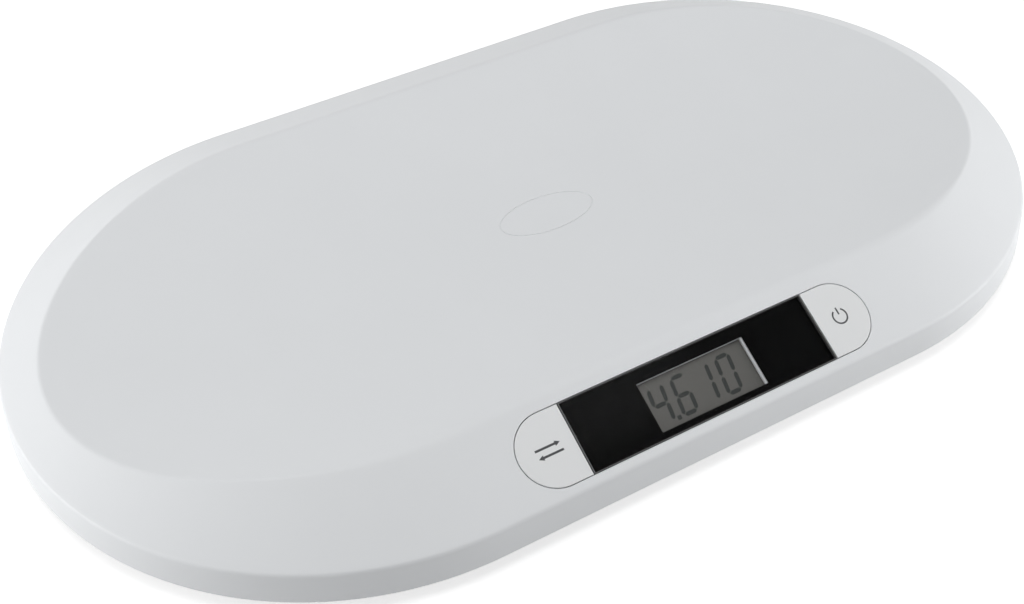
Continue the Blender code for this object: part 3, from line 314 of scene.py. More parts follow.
def crest_inset(way_y):
    """Inset where skirt and tray meet, by halving the span between the wall and the spine."""
    low = np.zeros_like(way_y)
    high = np.full_like(way_y, HALF_WIDTH)
    for _ in range(HALVINGS):
        middle = (low + high) / 2
        over = skirt_height(middle) > tray_height(way_y * (HALF_WIDTH - middle))
        high = np.where(over, middle, high)
        low = np.where(over, low, middle)
    return low


def crest_roll(way_y):
    """Half width of the crest's bend: narrow round the ends, and smoothly wider along the sides.

    The share s of the widening is zero up to a given way_y and runs to one as s^2 (3 - 2s)."""
    share = np.clip((np.abs(way_y) - CREST_WIDENING) / (1 - CREST_WIDENING), 0.0, 1.0)
    share = share * share * (3 - 2 * share)
    return CREST_ROLL_END + (CREST_ROLL_SIDE - CREST_ROLL_END) * share


def housing_section(way_y):
    """Inset and height of each section row: rim round, wall, corner bend, skirt, crest bend."""
    ones = np.ones_like(way_y)[:, None]
    share = np.linspace(0.0, 1.0, RIM_STEPS + 1)[None, :]
    draft = -WALL_DRAFT
    inset = [bend(draft + RIM_ROUND, draft, draft, share) * ones]
    height = [bend(RIM_HEIGHT, RIM_HEIGHT, RIM_HEIGHT + RIM_ROUND, share) * ones]
    share = np.linspace(0.0, 1.0, ROLL_STEPS + 1)[None, :]
    inset.append(bend(0.0, 0.0, ROLL_OUT, share) * ones)
    height.append(bend(CORNER_HEIGHT - ROLL_DOWN, CORNER_HEIGHT, skirt_height(ROLL_OUT), share) * ones)
    crest = crest_inset(way_y)[:, None]
    roll = crest_roll(way_y)[:, None]
    start = ROLL_OUT + GUARD
    end = crest - roll - GUARD
    share = np.linspace(0.0, 1.0, SKIRT_STEPS + 1)[None, :]
    inset.append(start + (end - start) * share)
    height.append(skirt_height(inset[-1]))
    share = np.linspace(0.0, 1.0, CREST_STEPS + 1)[None, :]
    before = crest - roll
    after = crest + roll
    inset.append(bend(before, crest, after, share))
    landing = tray_height(way_y[:, None] * (HALF_WIDTH - after))
    height.append(bend(skirt_height(before), skirt_height(crest), landing, share))
    return np.concatenate(inset, axis=1), np.concatenate(height, axis=1)


def ring_faces(rings, columns, first=0):
    """Quads between neighbouring rings of equally many points, each ring closed on itself."""
    ring = np.arange(rings - 1)[:, None] * columns
    column = np.arange(columns)[None, :]
    after = (column + 1) % columns
    here = first + ring + column
    there = first + ring + after
    return np.stack([here, there, there + columns, here + columns], axis=2).reshape(-1, 4)


def housing_skin():
    """The loft of the section round the outline, and strips of constant x across the tray.

    A tray point lies the share t from the near crest to the far crest, at tray_height(y)."""
    spine, way_x, way_y = outline_stations()
    inset, height = housing_section(way_y)
    reach = HALF_WIDTH - inset
    count, rows = inset.shape
    loft = np.stack([spine[:, None] + way_x[:, None] * reach, way_y[:, None] * reach, height], axis=2)
    points = loft.transpose(1, 0, 2).reshape(-1, 3)
    faces = ring_faces(rows, count).tolist()

    rim = (rows - 1) * count
    tip = END_STEPS // 2
    half = count // 2
    step = np.arange(1, half)
    near = rim + (tip - step) % count
    far = rim + (tip + step) % count
    share = np.linspace(0.0, 1.0, TRAY_STEPS + 1)[None, 1:-1, None]
    strips = points[near][:, None, :] * (1 - share) + points[far][:, None, :] * share
    strips[:, :, 2] = tray_height(strips[:, :, 1])
    inner = len(points) + np.arange(strips.shape[0] * strips.shape[1]).reshape(strips.shape[:2])
    grid = np.concatenate([near[:, None], inner, far[:, None]], axis=1)
    points = np.concatenate([points, strips.reshape(-1, 3)])
    quads = np.stack([grid[:-1, :-1], grid[:-1, 1:], grid[1:, 1:], grid[1:, :-1]], axis=2)
    faces += quads.reshape(-1, 4).tolist()
    right_tip = rim + tip
    left_tip = rim + (tip + half) % count
    first = grid[0]
    last = grid[-1]
    faces += [[right_tip, int(b), int(a)] for a, b in zip(first[:-1], first[1:])]
    faces += [[left_tip, int(a), int(b)] for a, b in zip(last[:-1], last[1:])]
    return points, faces


def mesh_of(name, points, faces, matrix=None):
    """A mesh whose points may be taken from a piece's own frame to the world's by a matrix."""
    mesh = bpy.data.meshes.new(name)
    mesh.from_pydata(np.asarray(points).tolist(), [], [list(face) for face in faces])
    if matrix is not None:
        mesh.transform(matrix)
    mesh.validate()
    return mesh


def place_piece(name, mesh, paint, body, replaced=(), sharp=SHARP_TURN):
    """Links a mesh as a smooth-shaded piece that rides on a body."""
    mesh.shade_smooth()
    mesh.set_sharp_from_angle(angle=sharp)
    mesh.materials.clear()
    mesh.materials.append(paint)
    piece = bpy.data.objects.new(name, mesh)
    bpy.context.scene.collection.objects.link(piece)
    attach(piece, body)
    if replaced:
        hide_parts(*replaced)
    return piece


def recalculated(mesh):
    """The same mesh with every closed part's faces turned outwards."""
    bm = bmesh.new()
    bm.from_mesh(mesh)
    bmesh.ops.recalc_face_normals(bm, faces=bm.faces)
    bm.to_mesh(mesh)
    bm.free()
    return mesh


def prism(outline, levels):
    """A closed prism over an outline, given as rings of (grow, height), flat at both ends."""
    flat = [(outline(grow), height) for grow, height in levels]
    rings = [np.column_stack([ring, np.full(len(ring), height)]) for ring, height in flat]
    count = len(rings[0])
    faces = ring_faces(len(rings), count).tolist()
    faces.append(list(range(count))[::-1])
    faces.append(list(range((len(rings) - 1) * count, len(rings) * count)))
    return np.concatenate(rings), faces


def key_outline(side):
    """Outline of one key: a straight inner edge and a half circle of the panel's half depth."""
    def grown(grow):
        radius = PANEL_HALF + grow
        turn = np.linspace(-math.pi / 2, math.pi / 2, KEY_ARC_STEPS + 1)
        inner = -KEY_REACH / 2 - grow
        middle = KEY_REACH / 2 - PANEL_HALF
        x = np.concatenate([[inner], middle + radius * np.cos(turn), [inner]])
        y = np.concatenate([[-radius], radius * np.sin(turn), [radius]])
        if side < 0:
            x, y = -x[::-1], y[::-1]
        return np.column_stack([x, y])
    return grown


def stadium_outline(grow):
    """Outline of the whole panel: the lens's straight sides between the keys' two half circles."""
    radius = PANEL_HALF + grow
    turn = np.linspace(-math.pi / 2, math.pi / 2, KEY_ARC_STEPS + 1)
    reach = KEY_START + KEY_REACH - PANEL_HALF
    x = np.concatenate([reach + radius * np.cos(turn), -reach - radius * np.cos(turn)])
    y = np.concatenate([radius * np.sin(turn), -radius * np.sin(turn)])
    return np.column_stack([x, y])


def box_outline(half_x, half_y, middle_x=0.0, middle_y=0.0):
    """Outline of a rectangle about a middle point, grown evenly."""
    def grown(grow):
        x = np.array([-1.0, 1.0, 1.0, -1.0]) * (half_x + grow) + middle_x
        y = np.array([-1.0, -1.0, 1.0, 1.0]) * (half_y + grow) + middle_y
        return np.column_stack([x, y])
    return grown


PANEL = Matrix.Translation((0.0, PANEL_MID_INSET - HALF_WIDTH, skirt_height(PANEL_MID_INSET)))
PANEL = PANEL @ Matrix.Rotation(SKIRT_ANGLE, 4, "X")


def on_panel(x=0.0, y=0.0):
    """The panel's frame moved along the panel and up its slope."""
    return PANEL @ Matrix.Translation((x, y, 0.0))


def cut_and_joined(mesh, joins, cuts, thickness=0.0):
    """The mesh after a wall is given to it, shapes are joined to it, and shapes are cut from it."""
    holder = bpy.data.objects.new("holder", mesh)
    collection = bpy.context.scene.collection
    collection.objects.link(holder)
    if thickness:
        wall = holder.modifiers.new("wall", "SOLIDIFY")
        wall.thickness = thickness
        wall.offset = -1.0
        wall.use_even_offset = True
    helpers = []
    for operation, shapes in (("UNION", joins), ("DIFFERENCE", cuts)):
        for shape in shapes:
            helper = bpy.data.objects.new("helper", shape)
            collection.objects.link(helper)
            helpers.append(helper)
            change = holder.modifiers.new("change", "BOOLEAN")
            change.operation = operation
            change.solver = "EXACT"
            change.object = helper
    depsgraph = bpy.context.evaluated_depsgraph_get()
    result = bpy.data.meshes.new_from_object(holder.evaluated_get(depsgraph))
    for helper in helpers + [holder]:
        bpy.data.objects.remove(helper, do_unlink=True)
    return result


def paint_base(name, colour, glaze, metallic=0.0):
    """A material with one Principled shader; returns it with its nodes, links and shader."""
    paint = bpy.data.materials.new(name)
    paint.use_nodes = True
    nodes, links = new_nodes(paint.node_tree)
    output = nodes.new("ShaderNodeOutputMaterial")
    shader = nodes.new("ShaderNodeBsdfPrincipled")
    links.new(shader.outputs["BSDF"], output.inputs["Surface"])
    shader.inputs["Base Color"].default_value = (*colour, 1.0)
    shader.inputs["Roughness"].default_value = glaze
    shader.inputs["Metallic"].default_value = metallic
    return paint, nodes, links, shader


def noise(nodes, links, scale, detail=NOISE_DETAIL, stretch=None):
    """Noise on object coordinates; a stretch turns it into streaks."""
    place = nodes.new("ShaderNodeTexCoord")
    result = nodes.new("ShaderNodeTexNoise")
    result.inputs["Scale"].default_value = scale
    result.inputs["Detail"].default_value = detail
    if stretch is None:
        links.new(place.outputs["Object"], result.inputs["Vector"])
    else:
        mapping = nodes.new("ShaderNodeMapping")
        mapping.inputs["Scale"].default_value = stretch
        links.new(place.outputs["Object"], mapping.inputs["Vector"])
        links.new(mapping.outputs["Vector"], result.inputs["Vector"])
    return result.outputs["Fac"]


def ranged(nodes, links, value, low, high):
    """A 0 to 1 value brought to a range."""
    step = nodes.new("ShaderNodeMapRange")
    step.inputs["To Min"].default_value = low
    step.inputs["To Max"].default_value = high
    links.new(value, step.inputs["Value"])
    return step.outputs["Result"]


def tinted(nodes, links, shader, colour, value, dark):
    """Base colour runs from a darker tint to the full colour with the value."""
    mix = nodes.new("ShaderNodeMix")
    mix.data_type = "RGBA"
    links.new(value, mix.inputs["Factor"])
    mix.inputs["A"].default_value = (*[dark * part for part in colour], 1.0)
    mix.inputs["B"].default_value = (*colour, 1.0)
    links.new(mix.outputs["Result"], shader.inputs["Base Color"])


def bumped(nodes, links, shader, value, depth):
    """A bump of a real depth in metres on the shader's normal."""
    bump = nodes.new("ShaderNodeBump")
    bump.inputs["Distance"].default_value = depth
    bump.inputs["Strength"].default_value = 1.0
    links.new(value, bump.inputs["Height"])
    links.new(bump.outputs["Normal"], shader.inputs["Normal"])


def moulded_plastic(name, colour, glaze, scale=GRAIN_SCALE, depth=GRAIN_DEPTH, dark=CLOUD_DARK):
    """Moulded plastic: spark-eroded grain as a fine bump, faint cloudiness in colour and gloss."""
    paint, nodes, links, shader = paint_base(name, colour, glaze)
    tinted(nodes, links, shader, colour, noise(nodes, links, CLOUD_SCALE), dark)
    gloss = noise(nodes, links, GLOSS_SCALE)
    links.new(
        ranged(nodes, links, gloss, glaze - GLOSS_SPREAD, glaze + GLOSS_SPREAD),
        shader.inputs["Roughness"])
    bumped(nodes, links, shader, noise(nodes, links, scale, GRAIN_DETAIL), depth)
    return paint


def hoop(rings):
    """A closed band through rings of equally many points, the last ring joined to the first."""
    count = len(rings[0])
    last = (len(rings) - 1) * count
    faces = ring_faces(len(rings), count)
    here = last + np.arange(count)
    after = last + (np.arange(count) + 1) % count
    closing = np.stack([here, after, after - last, here - last], axis=1)
    return np.concatenate(rings), np.concatenate([faces, closing]).tolist()


def oval_cutter():
    """The tool for the shallow oval groove: ellipses grown by half the line, at depths under the tray.

    A point is (middle + (a + grow) cos t, middle + (b + grow) sin t, tray_height(y) + level)."""
    turn = np.linspace(0.0, 2 * math.pi, MARK_POINTS, endpoint=False)
    half = MARK_LINE / 2
    rings = []
    section = [(-half, -MARK_DEPTH), (half, -MARK_DEPTH), (half, MARK_DEPTH), (-half, MARK_DEPTH)]
    for grow, level in section:
        x = MARK_MIDDLE[0] + (MARK_HALF_LENGTH + grow) * np.cos(turn)
        y = MARK_MIDDLE[1] + (MARK_HALF_WIDTH + grow) * np.sin(turn)
        rings.append(np.column_stack([x, y, tray_height(y) + level]))
    return mesh_of("oval", *hoop(rings))


def fine_housing():
    """The walled skin, with the ledge joined under the panel and the openings cut through it."""
    points, faces = housing_skin()
    skin = recalculated(mesh_of("housing_fine", points, faces))
    levels = [(PANEL_MARGIN, LEDGE_BOTTOM), (PANEL_MARGIN, -SHELL_WALL / 2)]
    ledge = mesh_of("ledge", *prism(stadium_outline, levels), PANEL)
    well = mesh_of("well", *prism(stadium_outline, [
        (SLIDE_GAP, LEDGE_TOP), (SLIDE_GAP, -EDGE_BREAK),
        (SLIDE_GAP + EDGE_BREAK + OVERRUN, OVERRUN)]), PANEL)
    under = LEDGE_BOTTOM - OVERRUN / 2
    view = box_outline(VIEW_HALF_X, VIEW_HALF_Y, VIEW_SHIFT_X, VIEW_SHIFT_Y)
    cuts = [oval_cutter(), well, mesh_of("view", *prism(view, [(0.0, under), (0.0, OVERRUN)]), PANEL)]
    for side in (-1, 1):
        hole = prism(key_outline(side), [(SLIDE_GAP, under), (SLIDE_GAP, LEDGE_TOP / 2)])
        cuts.append(mesh_of("hole", *hole, on_panel(side * KEY_CENTRE)))
    cuts = [recalculated(cut) for cut in cuts]
    return cut_and_joined(skin, [recalculated(ledge)], cuts, SHELL_WALL)


HOUSING_PAINT = moulded_plastic("housing_abs", ABS_WHITE, ABS_GLAZE)
place_piece("housing_fine", fine_housing(), HOUSING_PAINT, "housing", ("top_shell",))

# Display lens: a flat clear acrylic plate let into the panel flush with the skirt. Its sawn edge
# is a dull grey rim with a small chamfer. The black print lies behind it, open over the display.
LENS_BREAK = 0.0002
LENS_RIM = 0.0004
LENS_HAZE = 0.020
LENS_GLAZE = 0.06
LENS_TINT = (0.02, 0.02, 0.02)
POLISH_SCALE = 60.0
RIM_GREY = (0.09, 0.09, 0.09)
PRINT_BLACK = (0.0012, 0.0012, 0.0012)
PRINT_GLAZE = (0.10, 0.22)
PRINT_SPECULAR = 0.02
PRINT_DARK = 0.8
PRINT_TONE_SCALE = 300.0
PRINT_GLOSS_SCALE = 900.0
FINISH_SPREAD = 0.2
FINISH_DARK = 0.85


def clear_plastic():
    """Acrylic that lets the display through, with a faintly uneven polish."""
    paint, nodes, links, shader = paint_base("lens_acrylic", LENS_TINT, LENS_GLAZE)
    shader.inputs["Alpha"].default_value = LENS_HAZE
    links.new(
        ranged(nodes, links, noise(nodes, links, POLISH_SCALE), LENS_GLAZE / 2, LENS_GLAZE * 2),
        shader.inputs["Roughness"])
    return paint


def lens_mesh():
    """The plate inside its rim: a rectangle carried straight through the lens's thickness."""
    outline = box_outline(LENS_LENGTH / 2 - LENS_RIM, PANEL_HALF - LENS_RIM)
    return recalculated(mesh_of("lens_fine", *prism(outline, [(0.0, -LENS_THICKNESS), (0.0, 0.0)]), PANEL))


def lens_rim_mesh():
    """A band round the plate: outer side, chamfer, top and inner side, closed underneath."""
    outline = box_outline(LENS_LENGTH / 2, PANEL_HALF)
    levels = [
        (0.0, -LENS_THICKNESS), (0.0, -LENS_BREAK), (-LENS_BREAK, 0.0), (-LENS_RIM, 0.0),
        (-LENS_RIM, -LENS_THICKNESS)]
    rings = [np.column_stack([outline(grow), np.full(4, height)]) for grow, height in levels]
    return recalculated(mesh_of("lens_rim", *hoop(rings), PANEL))


def plain_finish(name, colour, glaze, scale, depth, dark=FINISH_DARK, metallic=0.0, stretch=None):
    """One colour with a fine grain in its tone, gloss and surface; a stretch makes it brushed."""
    paint, nodes, links, shader = paint_base(name, colour, glaze, metallic)
    grain = noise(nodes, links, scale, NOISE_DETAIL, stretch)
    tinted(nodes, links, shader, colour, grain, dark)
    links.new(
        ranged(nodes, links, grain, glaze * (1 - FINISH_SPREAD), glaze * (1 + FINISH_SPREAD)),
        shader.inputs["Roughness"])
    bumped(nodes, links, shader, grain, depth)
    return paint


def print_black():
    """Screen-printed black with a slight texture in its gloss."""
    paint, nodes, links, shader = paint_base("lens_print", PRINT_BLACK, PRINT_GLAZE[1])
    shader.inputs["Specular IOR Level"].default_value = PRINT_SPECULAR
    tinted(nodes, links, shader, PRINT_BLACK, noise(nodes, links, PRINT_TONE_SCALE), PRINT_DARK)
    gloss = noise(nodes, links, PRINT_GLOSS_SCALE)
    links.new(ranged(nodes, links, gloss, *PRINT_GLAZE), shader.inputs["Roughness"])
    return paint


def dress(names, paint):
    """Gives CAD nodes that keep their shape their finished material."""
    for name in names:
        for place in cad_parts[name].material_slots:
            place.material = paint


place_piece("lens_fine", lens_mesh(), clear_plastic(), "housing", ("display_lens",))
RIM_PAINT = plain_finish("lens_edge", RIM_GREY, glaze=0.3, scale=1500.0, depth=0.000008)
place_piece("lens_rim", lens_rim_mesh(), RIM_PAINT, "housing")
dress(["lens_mask"], print_black())

# Keys: two D-shaped white caps, hollow under a thin skin, with a lip that holds them under the
# panel and a stem over the switch. Their round ends fill the panel's ends, a fine seam all round.
KEY_SKIN = 0.0018
KEY_SIDE = 0.0016
KEY_LIP = 0.001
KEY_LIP_THICKNESS = 0.0012
KEY_FLOOR = LEDGE_BOTTOM - SEAT_GAP - KEY_LIP_THICKNESS
KEY_ROUND = 0.00035
KEY_ROUND_STEPS = 5
KEY_GUARD = 0.0004
KEY_WHITE = (0.80, 0.81, 0.815)
BOARD_DROP = 0.0052
BOARD_TOP = LEDGE_BOTTOM - BOARD_DROP
SWITCH_HEIGHT = 0.0033
SWITCH_TOP = BOARD_TOP + SEAT_GAP + SWITCH_HEIGHT
PLUNGER_RISE = 0.0008
STEM_RADIUS = 0.002
STEM_FOOT = SWITCH_TOP + PLUNGER_RISE + SEAT_GAP
STEM_STEPS = 24


def lathe(profile, steps, matrix=None, name="lathe"):
    """A profile of (radius, height) points turned about Z, closed at both ends by a flat face."""
    turn = np.linspace(0.0, 2 * math.pi, steps, endpoint=False)
    profile = np.asarray(profile)
    ring = np.stack([np.cos(turn), np.sin(turn), np.ones(steps)], axis=1)
    scale = np.stack([profile[:, 0], profile[:, 0], profile[:, 1]], axis=1)
    points = (scale[:, None, :] * ring[None, :, :]).reshape(-1, 3)
    faces = ring_faces(len(profile), steps).tolist()
    faces.append(list(range(steps))[::-1])
    faces.append(list(range((len(profile) - 1) * steps, len(profile) * steps)))
    return recalculated(mesh_of(name, points, faces, matrix))


def joined(name, meshes):
    """One mesh holding several closed ones."""
    points = []
    faces = []
    start = 0
    for mesh in meshes:
        count = len(mesh.vertices)
        flat = np.empty(count * 3)
        mesh.vertices.foreach_get("co", flat)
        points.append(flat.reshape(-1, 3))
        faces += [[start + index for index in face.vertices] for face in mesh.polygons]
        start += count
    return mesh_of(name, np.concatenate(points), faces)


def key_mesh(side):
    """The cap as one closed run of rings: rounded top edge, wall, lip, and up inside the skin."""
    share = np.linspace(0.0, 1.0, KEY_ROUND_STEPS + 1)
    levels = [(-KEY_ROUND - KEY_GUARD, 0.0)]
    levels += list(zip(bend(-KEY_ROUND, 0.0, 0.0, share), bend(0.0, 0.0, -KEY_ROUND, share)))
    levels += [
        (0.0, KEY_FLOOR + KEY_LIP_THICKNESS), (KEY_LIP, KEY_FLOOR + KEY_LIP_THICKNESS),
        (KEY_LIP, KEY_FLOOR), (-KEY_SIDE, KEY_FLOOR), (-KEY_SIDE, -KEY_SKIN)]
    place = on_panel(side * KEY_CENTRE)
    cap = recalculated(mesh_of("key_cap", *prism(key_outline(side), levels), place))
    over = on_panel(side * SWITCH_CENTRE)
    stem = lathe([(STEM_RADIUS, STEM_FOOT), (STEM_RADIUS, -KEY_SKIN)], STEM_STEPS, over)
    return joined("key", [cap, stem])


KEY_PAINT = moulded_plastic("key_abs", KEY_WHITE, glaze=0.36, depth=0.000010, dark=0.98)
for side, name in ((-1, "unit_key"), (1, "power_key")):
    place_piece(name + "_fine", key_mesh(side), KEY_PAINT, name, (name,))

# Key signs: small dark pad-printed signs, a power sign on the right key and two opposed arrows
# on the left one. Each is a film of ink that rides on its key.
INK = (0.03, 0.032, 0.036)
INK_GLAZE = 0.5
INK_SCALE = 1500.0
INK_DARK = 0.7
INK_THICKNESS = 0.00002
SIGN_RADIUS = 0.0037
SIGN_STROKE = 0.0008
SIGN_OPENING = math.radians(34.0)
SIGN_STEPS = 40
ARROW_REACH = 0.0062
ARROW_RISE = 0.0019
ARROW_HEAD = 0.0025
ARROW_STROKE = 0.00105


def fixed(points):
    """An outline that doesn't grow, for prisms of one size."""
    return lambda grow: np.asarray(points)


def film(points, place, base=0.0):
    """A thin closed plate over an outline, on a plane of its own frame."""
    levels = [(0.0, base), (0.0, base + INK_THICKNESS)]
    return recalculated(mesh_of("film", *prism(fixed(points), levels), place))


def power_sign(place):
    """An open ring, from one side of the gap round to the other, and an upright bar in the gap."""
    turn = np.linspace(SIGN_OPENING, 2 * math.pi - SIGN_OPENING, SIGN_STEPS) + math.pi / 2
    outer = SIGN_RADIUS + SIGN_STROKE / 2
    inner = SIGN_RADIUS - SIGN_STROKE / 2
    ring = np.concatenate([
        np.column_stack([np.cos(turn), np.sin(turn)]) * outer,
        np.column_stack([np.cos(turn), np.sin(turn)])[::-1] * inner])
    half = SIGN_STROKE / 2
    low = SIGN_RADIUS / 4
    high = SIGN_RADIUS + SIGN_STROKE
    bar = [(-half, low), (half, low), (half, high), (-half, high)]
    return joined("power_sign", [film(ring, place), film(bar, place)])


def arrow_sign(place):
    """Two arrows: a shaft and a three-cornered head, the lower one the upper turned half round."""
    half = ARROW_STROKE / 2
    neck = ARROW_REACH - ARROW_HEAD
    arrow = np.array([
        (-ARROW_REACH, -half), (neck, -half), (neck, -ARROW_HEAD / 2), (ARROW_REACH, 0.0),
        (neck, ARROW_HEAD / 2), (neck, half), (-ARROW_REACH, half)])
    upper = arrow + (0.0, ARROW_RISE)
    return joined("arrow_sign", [film(upper, place), film(-upper, place)])


def ink_paint():
    """Pad-printing ink, a little worn in tone."""
    paint, nodes, links, shader = paint_base("key_ink", INK, INK_GLAZE)
    tinted(nodes, links, shader, INK, noise(nodes, links, INK_SCALE), INK_DARK)
    return paint


INK_PAINT = ink_paint()
place_piece("unit_sign", arrow_sign(on_panel(-SWITCH_CENTRE)), INK_PAINT, "unit_key")
place_piece("power_sign", power_sign(on_panel(SWITCH_CENTRE)), INK_PAINT, "power_key")

# Display: grey reflective liquid-crystal glass in a white holder under the panel's opening. It
# shows four plain figures of seven slanted segments, and a decimal point after the first.
LCD_TOP = LEDGE_BOTTOM - SEAT_GAP
LCD_GREY = (0.128, 0.126, 0.118)
SEGMENT_GREY = (0.032, 0.036, 0.035)
LCD_SPECULAR = 0.2
DIGIT_WIDTH = 0.0088
DIGIT_HEIGHT = 0.0192
DIGIT_STROKE = 0.0020
DIGIT_GAP = 0.00025
DIGIT_PITCH = 0.0123
DIGIT_START = -0.0217
DIGIT_SLANT = math.tan(math.radians(7.7))
DIGIT_SHIFT_Y = -0.0003
DIGITS = "4610"
POINT_AFTER = 0
LIT = {"0": "abcdef", "1": "bc", "4": "fgbc", "6": "afgedc"}
LCD_GLAZE = 0.35
LCD_GLOSS = (0.28, 0.40)
LCD_TONE_SCALE = 900.0
LCD_GLOSS_SCALE = 200.0
LCD_DARK = 0.93
SEGMENT_DARK = 0.9
HOLDER_WHITE = (0.78, 0.78, 0.77)


def bar_points(start, end):
    """A straight bar with pointed ends between two points, as six corners."""
    start = np.asarray(start)
    end = np.asarray(end)
    along = (end - start) / np.linalg.norm(end - start)
    across = np.array([-along[1], along[0]]) * DIGIT_STROKE / 2
    start = start + along * DIGIT_GAP
    end = end - along * DIGIT_GAP
    lead = along * DIGIT_STROKE / 2
    return np.array([
        start, start + lead - across, end - lead - across, end, end - lead + across,
        start + lead + across])


def segment_places():
    """The two ends of each lettered segment of one figure about its middle."""
    x = (DIGIT_WIDTH - DIGIT_STROKE) / 2
    y = (DIGIT_HEIGHT - DIGIT_STROKE) / 2
    return {
        "a": ((-x, y), (x, y)), "b": ((x, 0.0), (x, y)), "c": ((x, -y), (x, 0.0)),
        "d": ((-x, -y), (x, -y)), "e": ((-x, -y), (-x, 0.0)), "f": ((-x, 0.0), (-x, y)),
        "g": ((-x, 0.0), (x, 0.0))}


def figures():
    """The lit segments of every figure, slanted by x + y tan(slant), and the decimal point."""
    place = on_panel(VIEW_SHIFT_X, VIEW_SHIFT_Y)
    places = segment_places()
    films = []
    for index, figure in enumerate(DIGITS):
        middle = DIGIT_START + index * DIGIT_PITCH
        for letter in LIT[figure]:
            points = bar_points(*places[letter])
            points[:, 0] += middle + points[:, 1] * DIGIT_SLANT
            points[:, 1] += DIGIT_SHIFT_Y
            films.append(film(points, place, LCD_TOP))
        if index == POINT_AFTER:
            half = DIGIT_STROKE / 2
            corner = np.array([(-half, -half), (half, -half), (half, half), (-half, half)])
            foot = half - DIGIT_HEIGHT / 2
            corner += (middle + DIGIT_PITCH / 2 + foot * DIGIT_SLANT, foot + DIGIT_SHIFT_Y)
            films.append(film(corner, place, LCD_TOP))
    return joined("figures", films)


def display_glass():
    """Matt grey polariser with a very fine mottling."""
    paint, nodes, links, shader = paint_base("lcd_grey", LCD_GREY, LCD_GLAZE)
    shader.inputs["Specular IOR Level"].default_value = LCD_SPECULAR
    tinted(nodes, links, shader, LCD_GREY, noise(nodes, links, LCD_TONE_SCALE), LCD_DARK)
    gloss = noise(nodes, links, LCD_GLOSS_SCALE)
    links.new(ranged(nodes, links, gloss, *LCD_GLOSS), shader.inputs["Roughness"])
    return paint


def segment_ink():
    """The darkened liquid crystal of a lit segment."""
    paint, nodes, links, shader = paint_base("lcd_segment", SEGMENT_GREY, LCD_GLAZE)
    shader.inputs["Specular IOR Level"].default_value = LCD_SPECULAR
    tinted(nodes, links, shader, SEGMENT_GREY, noise(nodes, links, LCD_TONE_SCALE), SEGMENT_DARK)
    return paint


dress(["lcd_glass"], display_glass())
dress(["lcd_frame"], moulded_plastic("holder_abs", HOLDER_WHITE, glaze=0.45))
place_piece("lcd_figures", figures(), segment_ink(), "housing")

# Electronics behind the panel: a rubber connector with conducting stripes, a green board with
# its tracks, a blob of black resin on the controller, and a switch under each key.
STRIPE_SCALE = 2400.0
STRIPE_DARK = 0.12
RUBBER_PINK = (0.62, 0.26, 0.27)
RUBBER_GLAZE = 0.6
BOARD_GREEN = (0.012, 0.10, 0.035)
BOARD_GLAZE = 0.3
TRACK_SCALE = 160.0
TRACK_SHARE = 0.03
TRACK_LIGHT = 1.6
TRACK_HEIGHT = 0.00005
RESIN_BLACK = (0.012, 0.012, 0.013)
SWITCH_BLACK = (0.03, 0.03, 0.03)


def zebra_rubber():
    """Pink silicone with narrow dark stripes across the strip, from a sine of x."""
    paint, nodes, links, shader = paint_base("zebra_rubber", RUBBER_PINK, RUBBER_GLAZE)
    place = nodes.new("ShaderNodeTexCoord")
    wave = nodes.new("ShaderNodeTexWave")
    wave.inputs["Scale"].default_value = STRIPE_SCALE
    links.new(place.outputs["Object"], wave.inputs["Vector"])
    tinted(nodes, links, shader, RUBBER_PINK, wave.outputs["Fac"], STRIPE_DARK)
    return paint


def board_laminate():
    """Green solder mask raised over straight tracks, from a brick pattern of the tracks' pitch."""
    paint, nodes, links, shader = paint_base("board_laminate", BOARD_GREEN, BOARD_GLAZE)
    place = nodes.new("ShaderNodeTexCoord")
    tracks = nodes.new("ShaderNodeTexBrick")
    tracks.inputs["Scale"].default_value = TRACK_SCALE
    tracks.inputs["Mortar Size"].default_value = TRACK_SHARE
    links.new(place.outputs["Object"], tracks.inputs["Vector"])
    tinted(nodes, links, shader, BOARD_GREEN, tracks.outputs["Fac"], TRACK_LIGHT)
    bumped(nodes, links, shader, tracks.outputs["Fac"], TRACK_HEIGHT)
    return paint


SWITCH_NODES = ["unit_switch", "power_switch", "unit_plunger", "power_plunger"]
dress(["zebra_strip"], zebra_rubber())
dress(["main_board"], board_laminate())
RESIN_PAINT = plain_finish("resin_black", RESIN_BLACK, glaze=0.25, scale=260.0, depth=0.00008)
dress(["controller_chip"], RESIN_PAINT)
SWITCH_PAINT = plain_finish("switch_plastic", SWITCH_BLACK, glaze=0.4, scale=1800.0, depth=0.00001)
dress(SWITCH_NODES, SWITCH_PAINT)

# Base: a white moulded pan screwed up into the housing, with a well for each load cell, the
# battery bay and its ribs. The battery door in it is of the same plastic.
BASE_WHITE = (0.76, 0.765, 0.76)
BASE_PAINT = moulded_plastic(
    "base_abs", BASE_WHITE, glaze=0.5, scale=1500.0, depth=0.00003, dark=0.95)
dress(["bottom_shell", "battery_door"], BASE_PAINT)

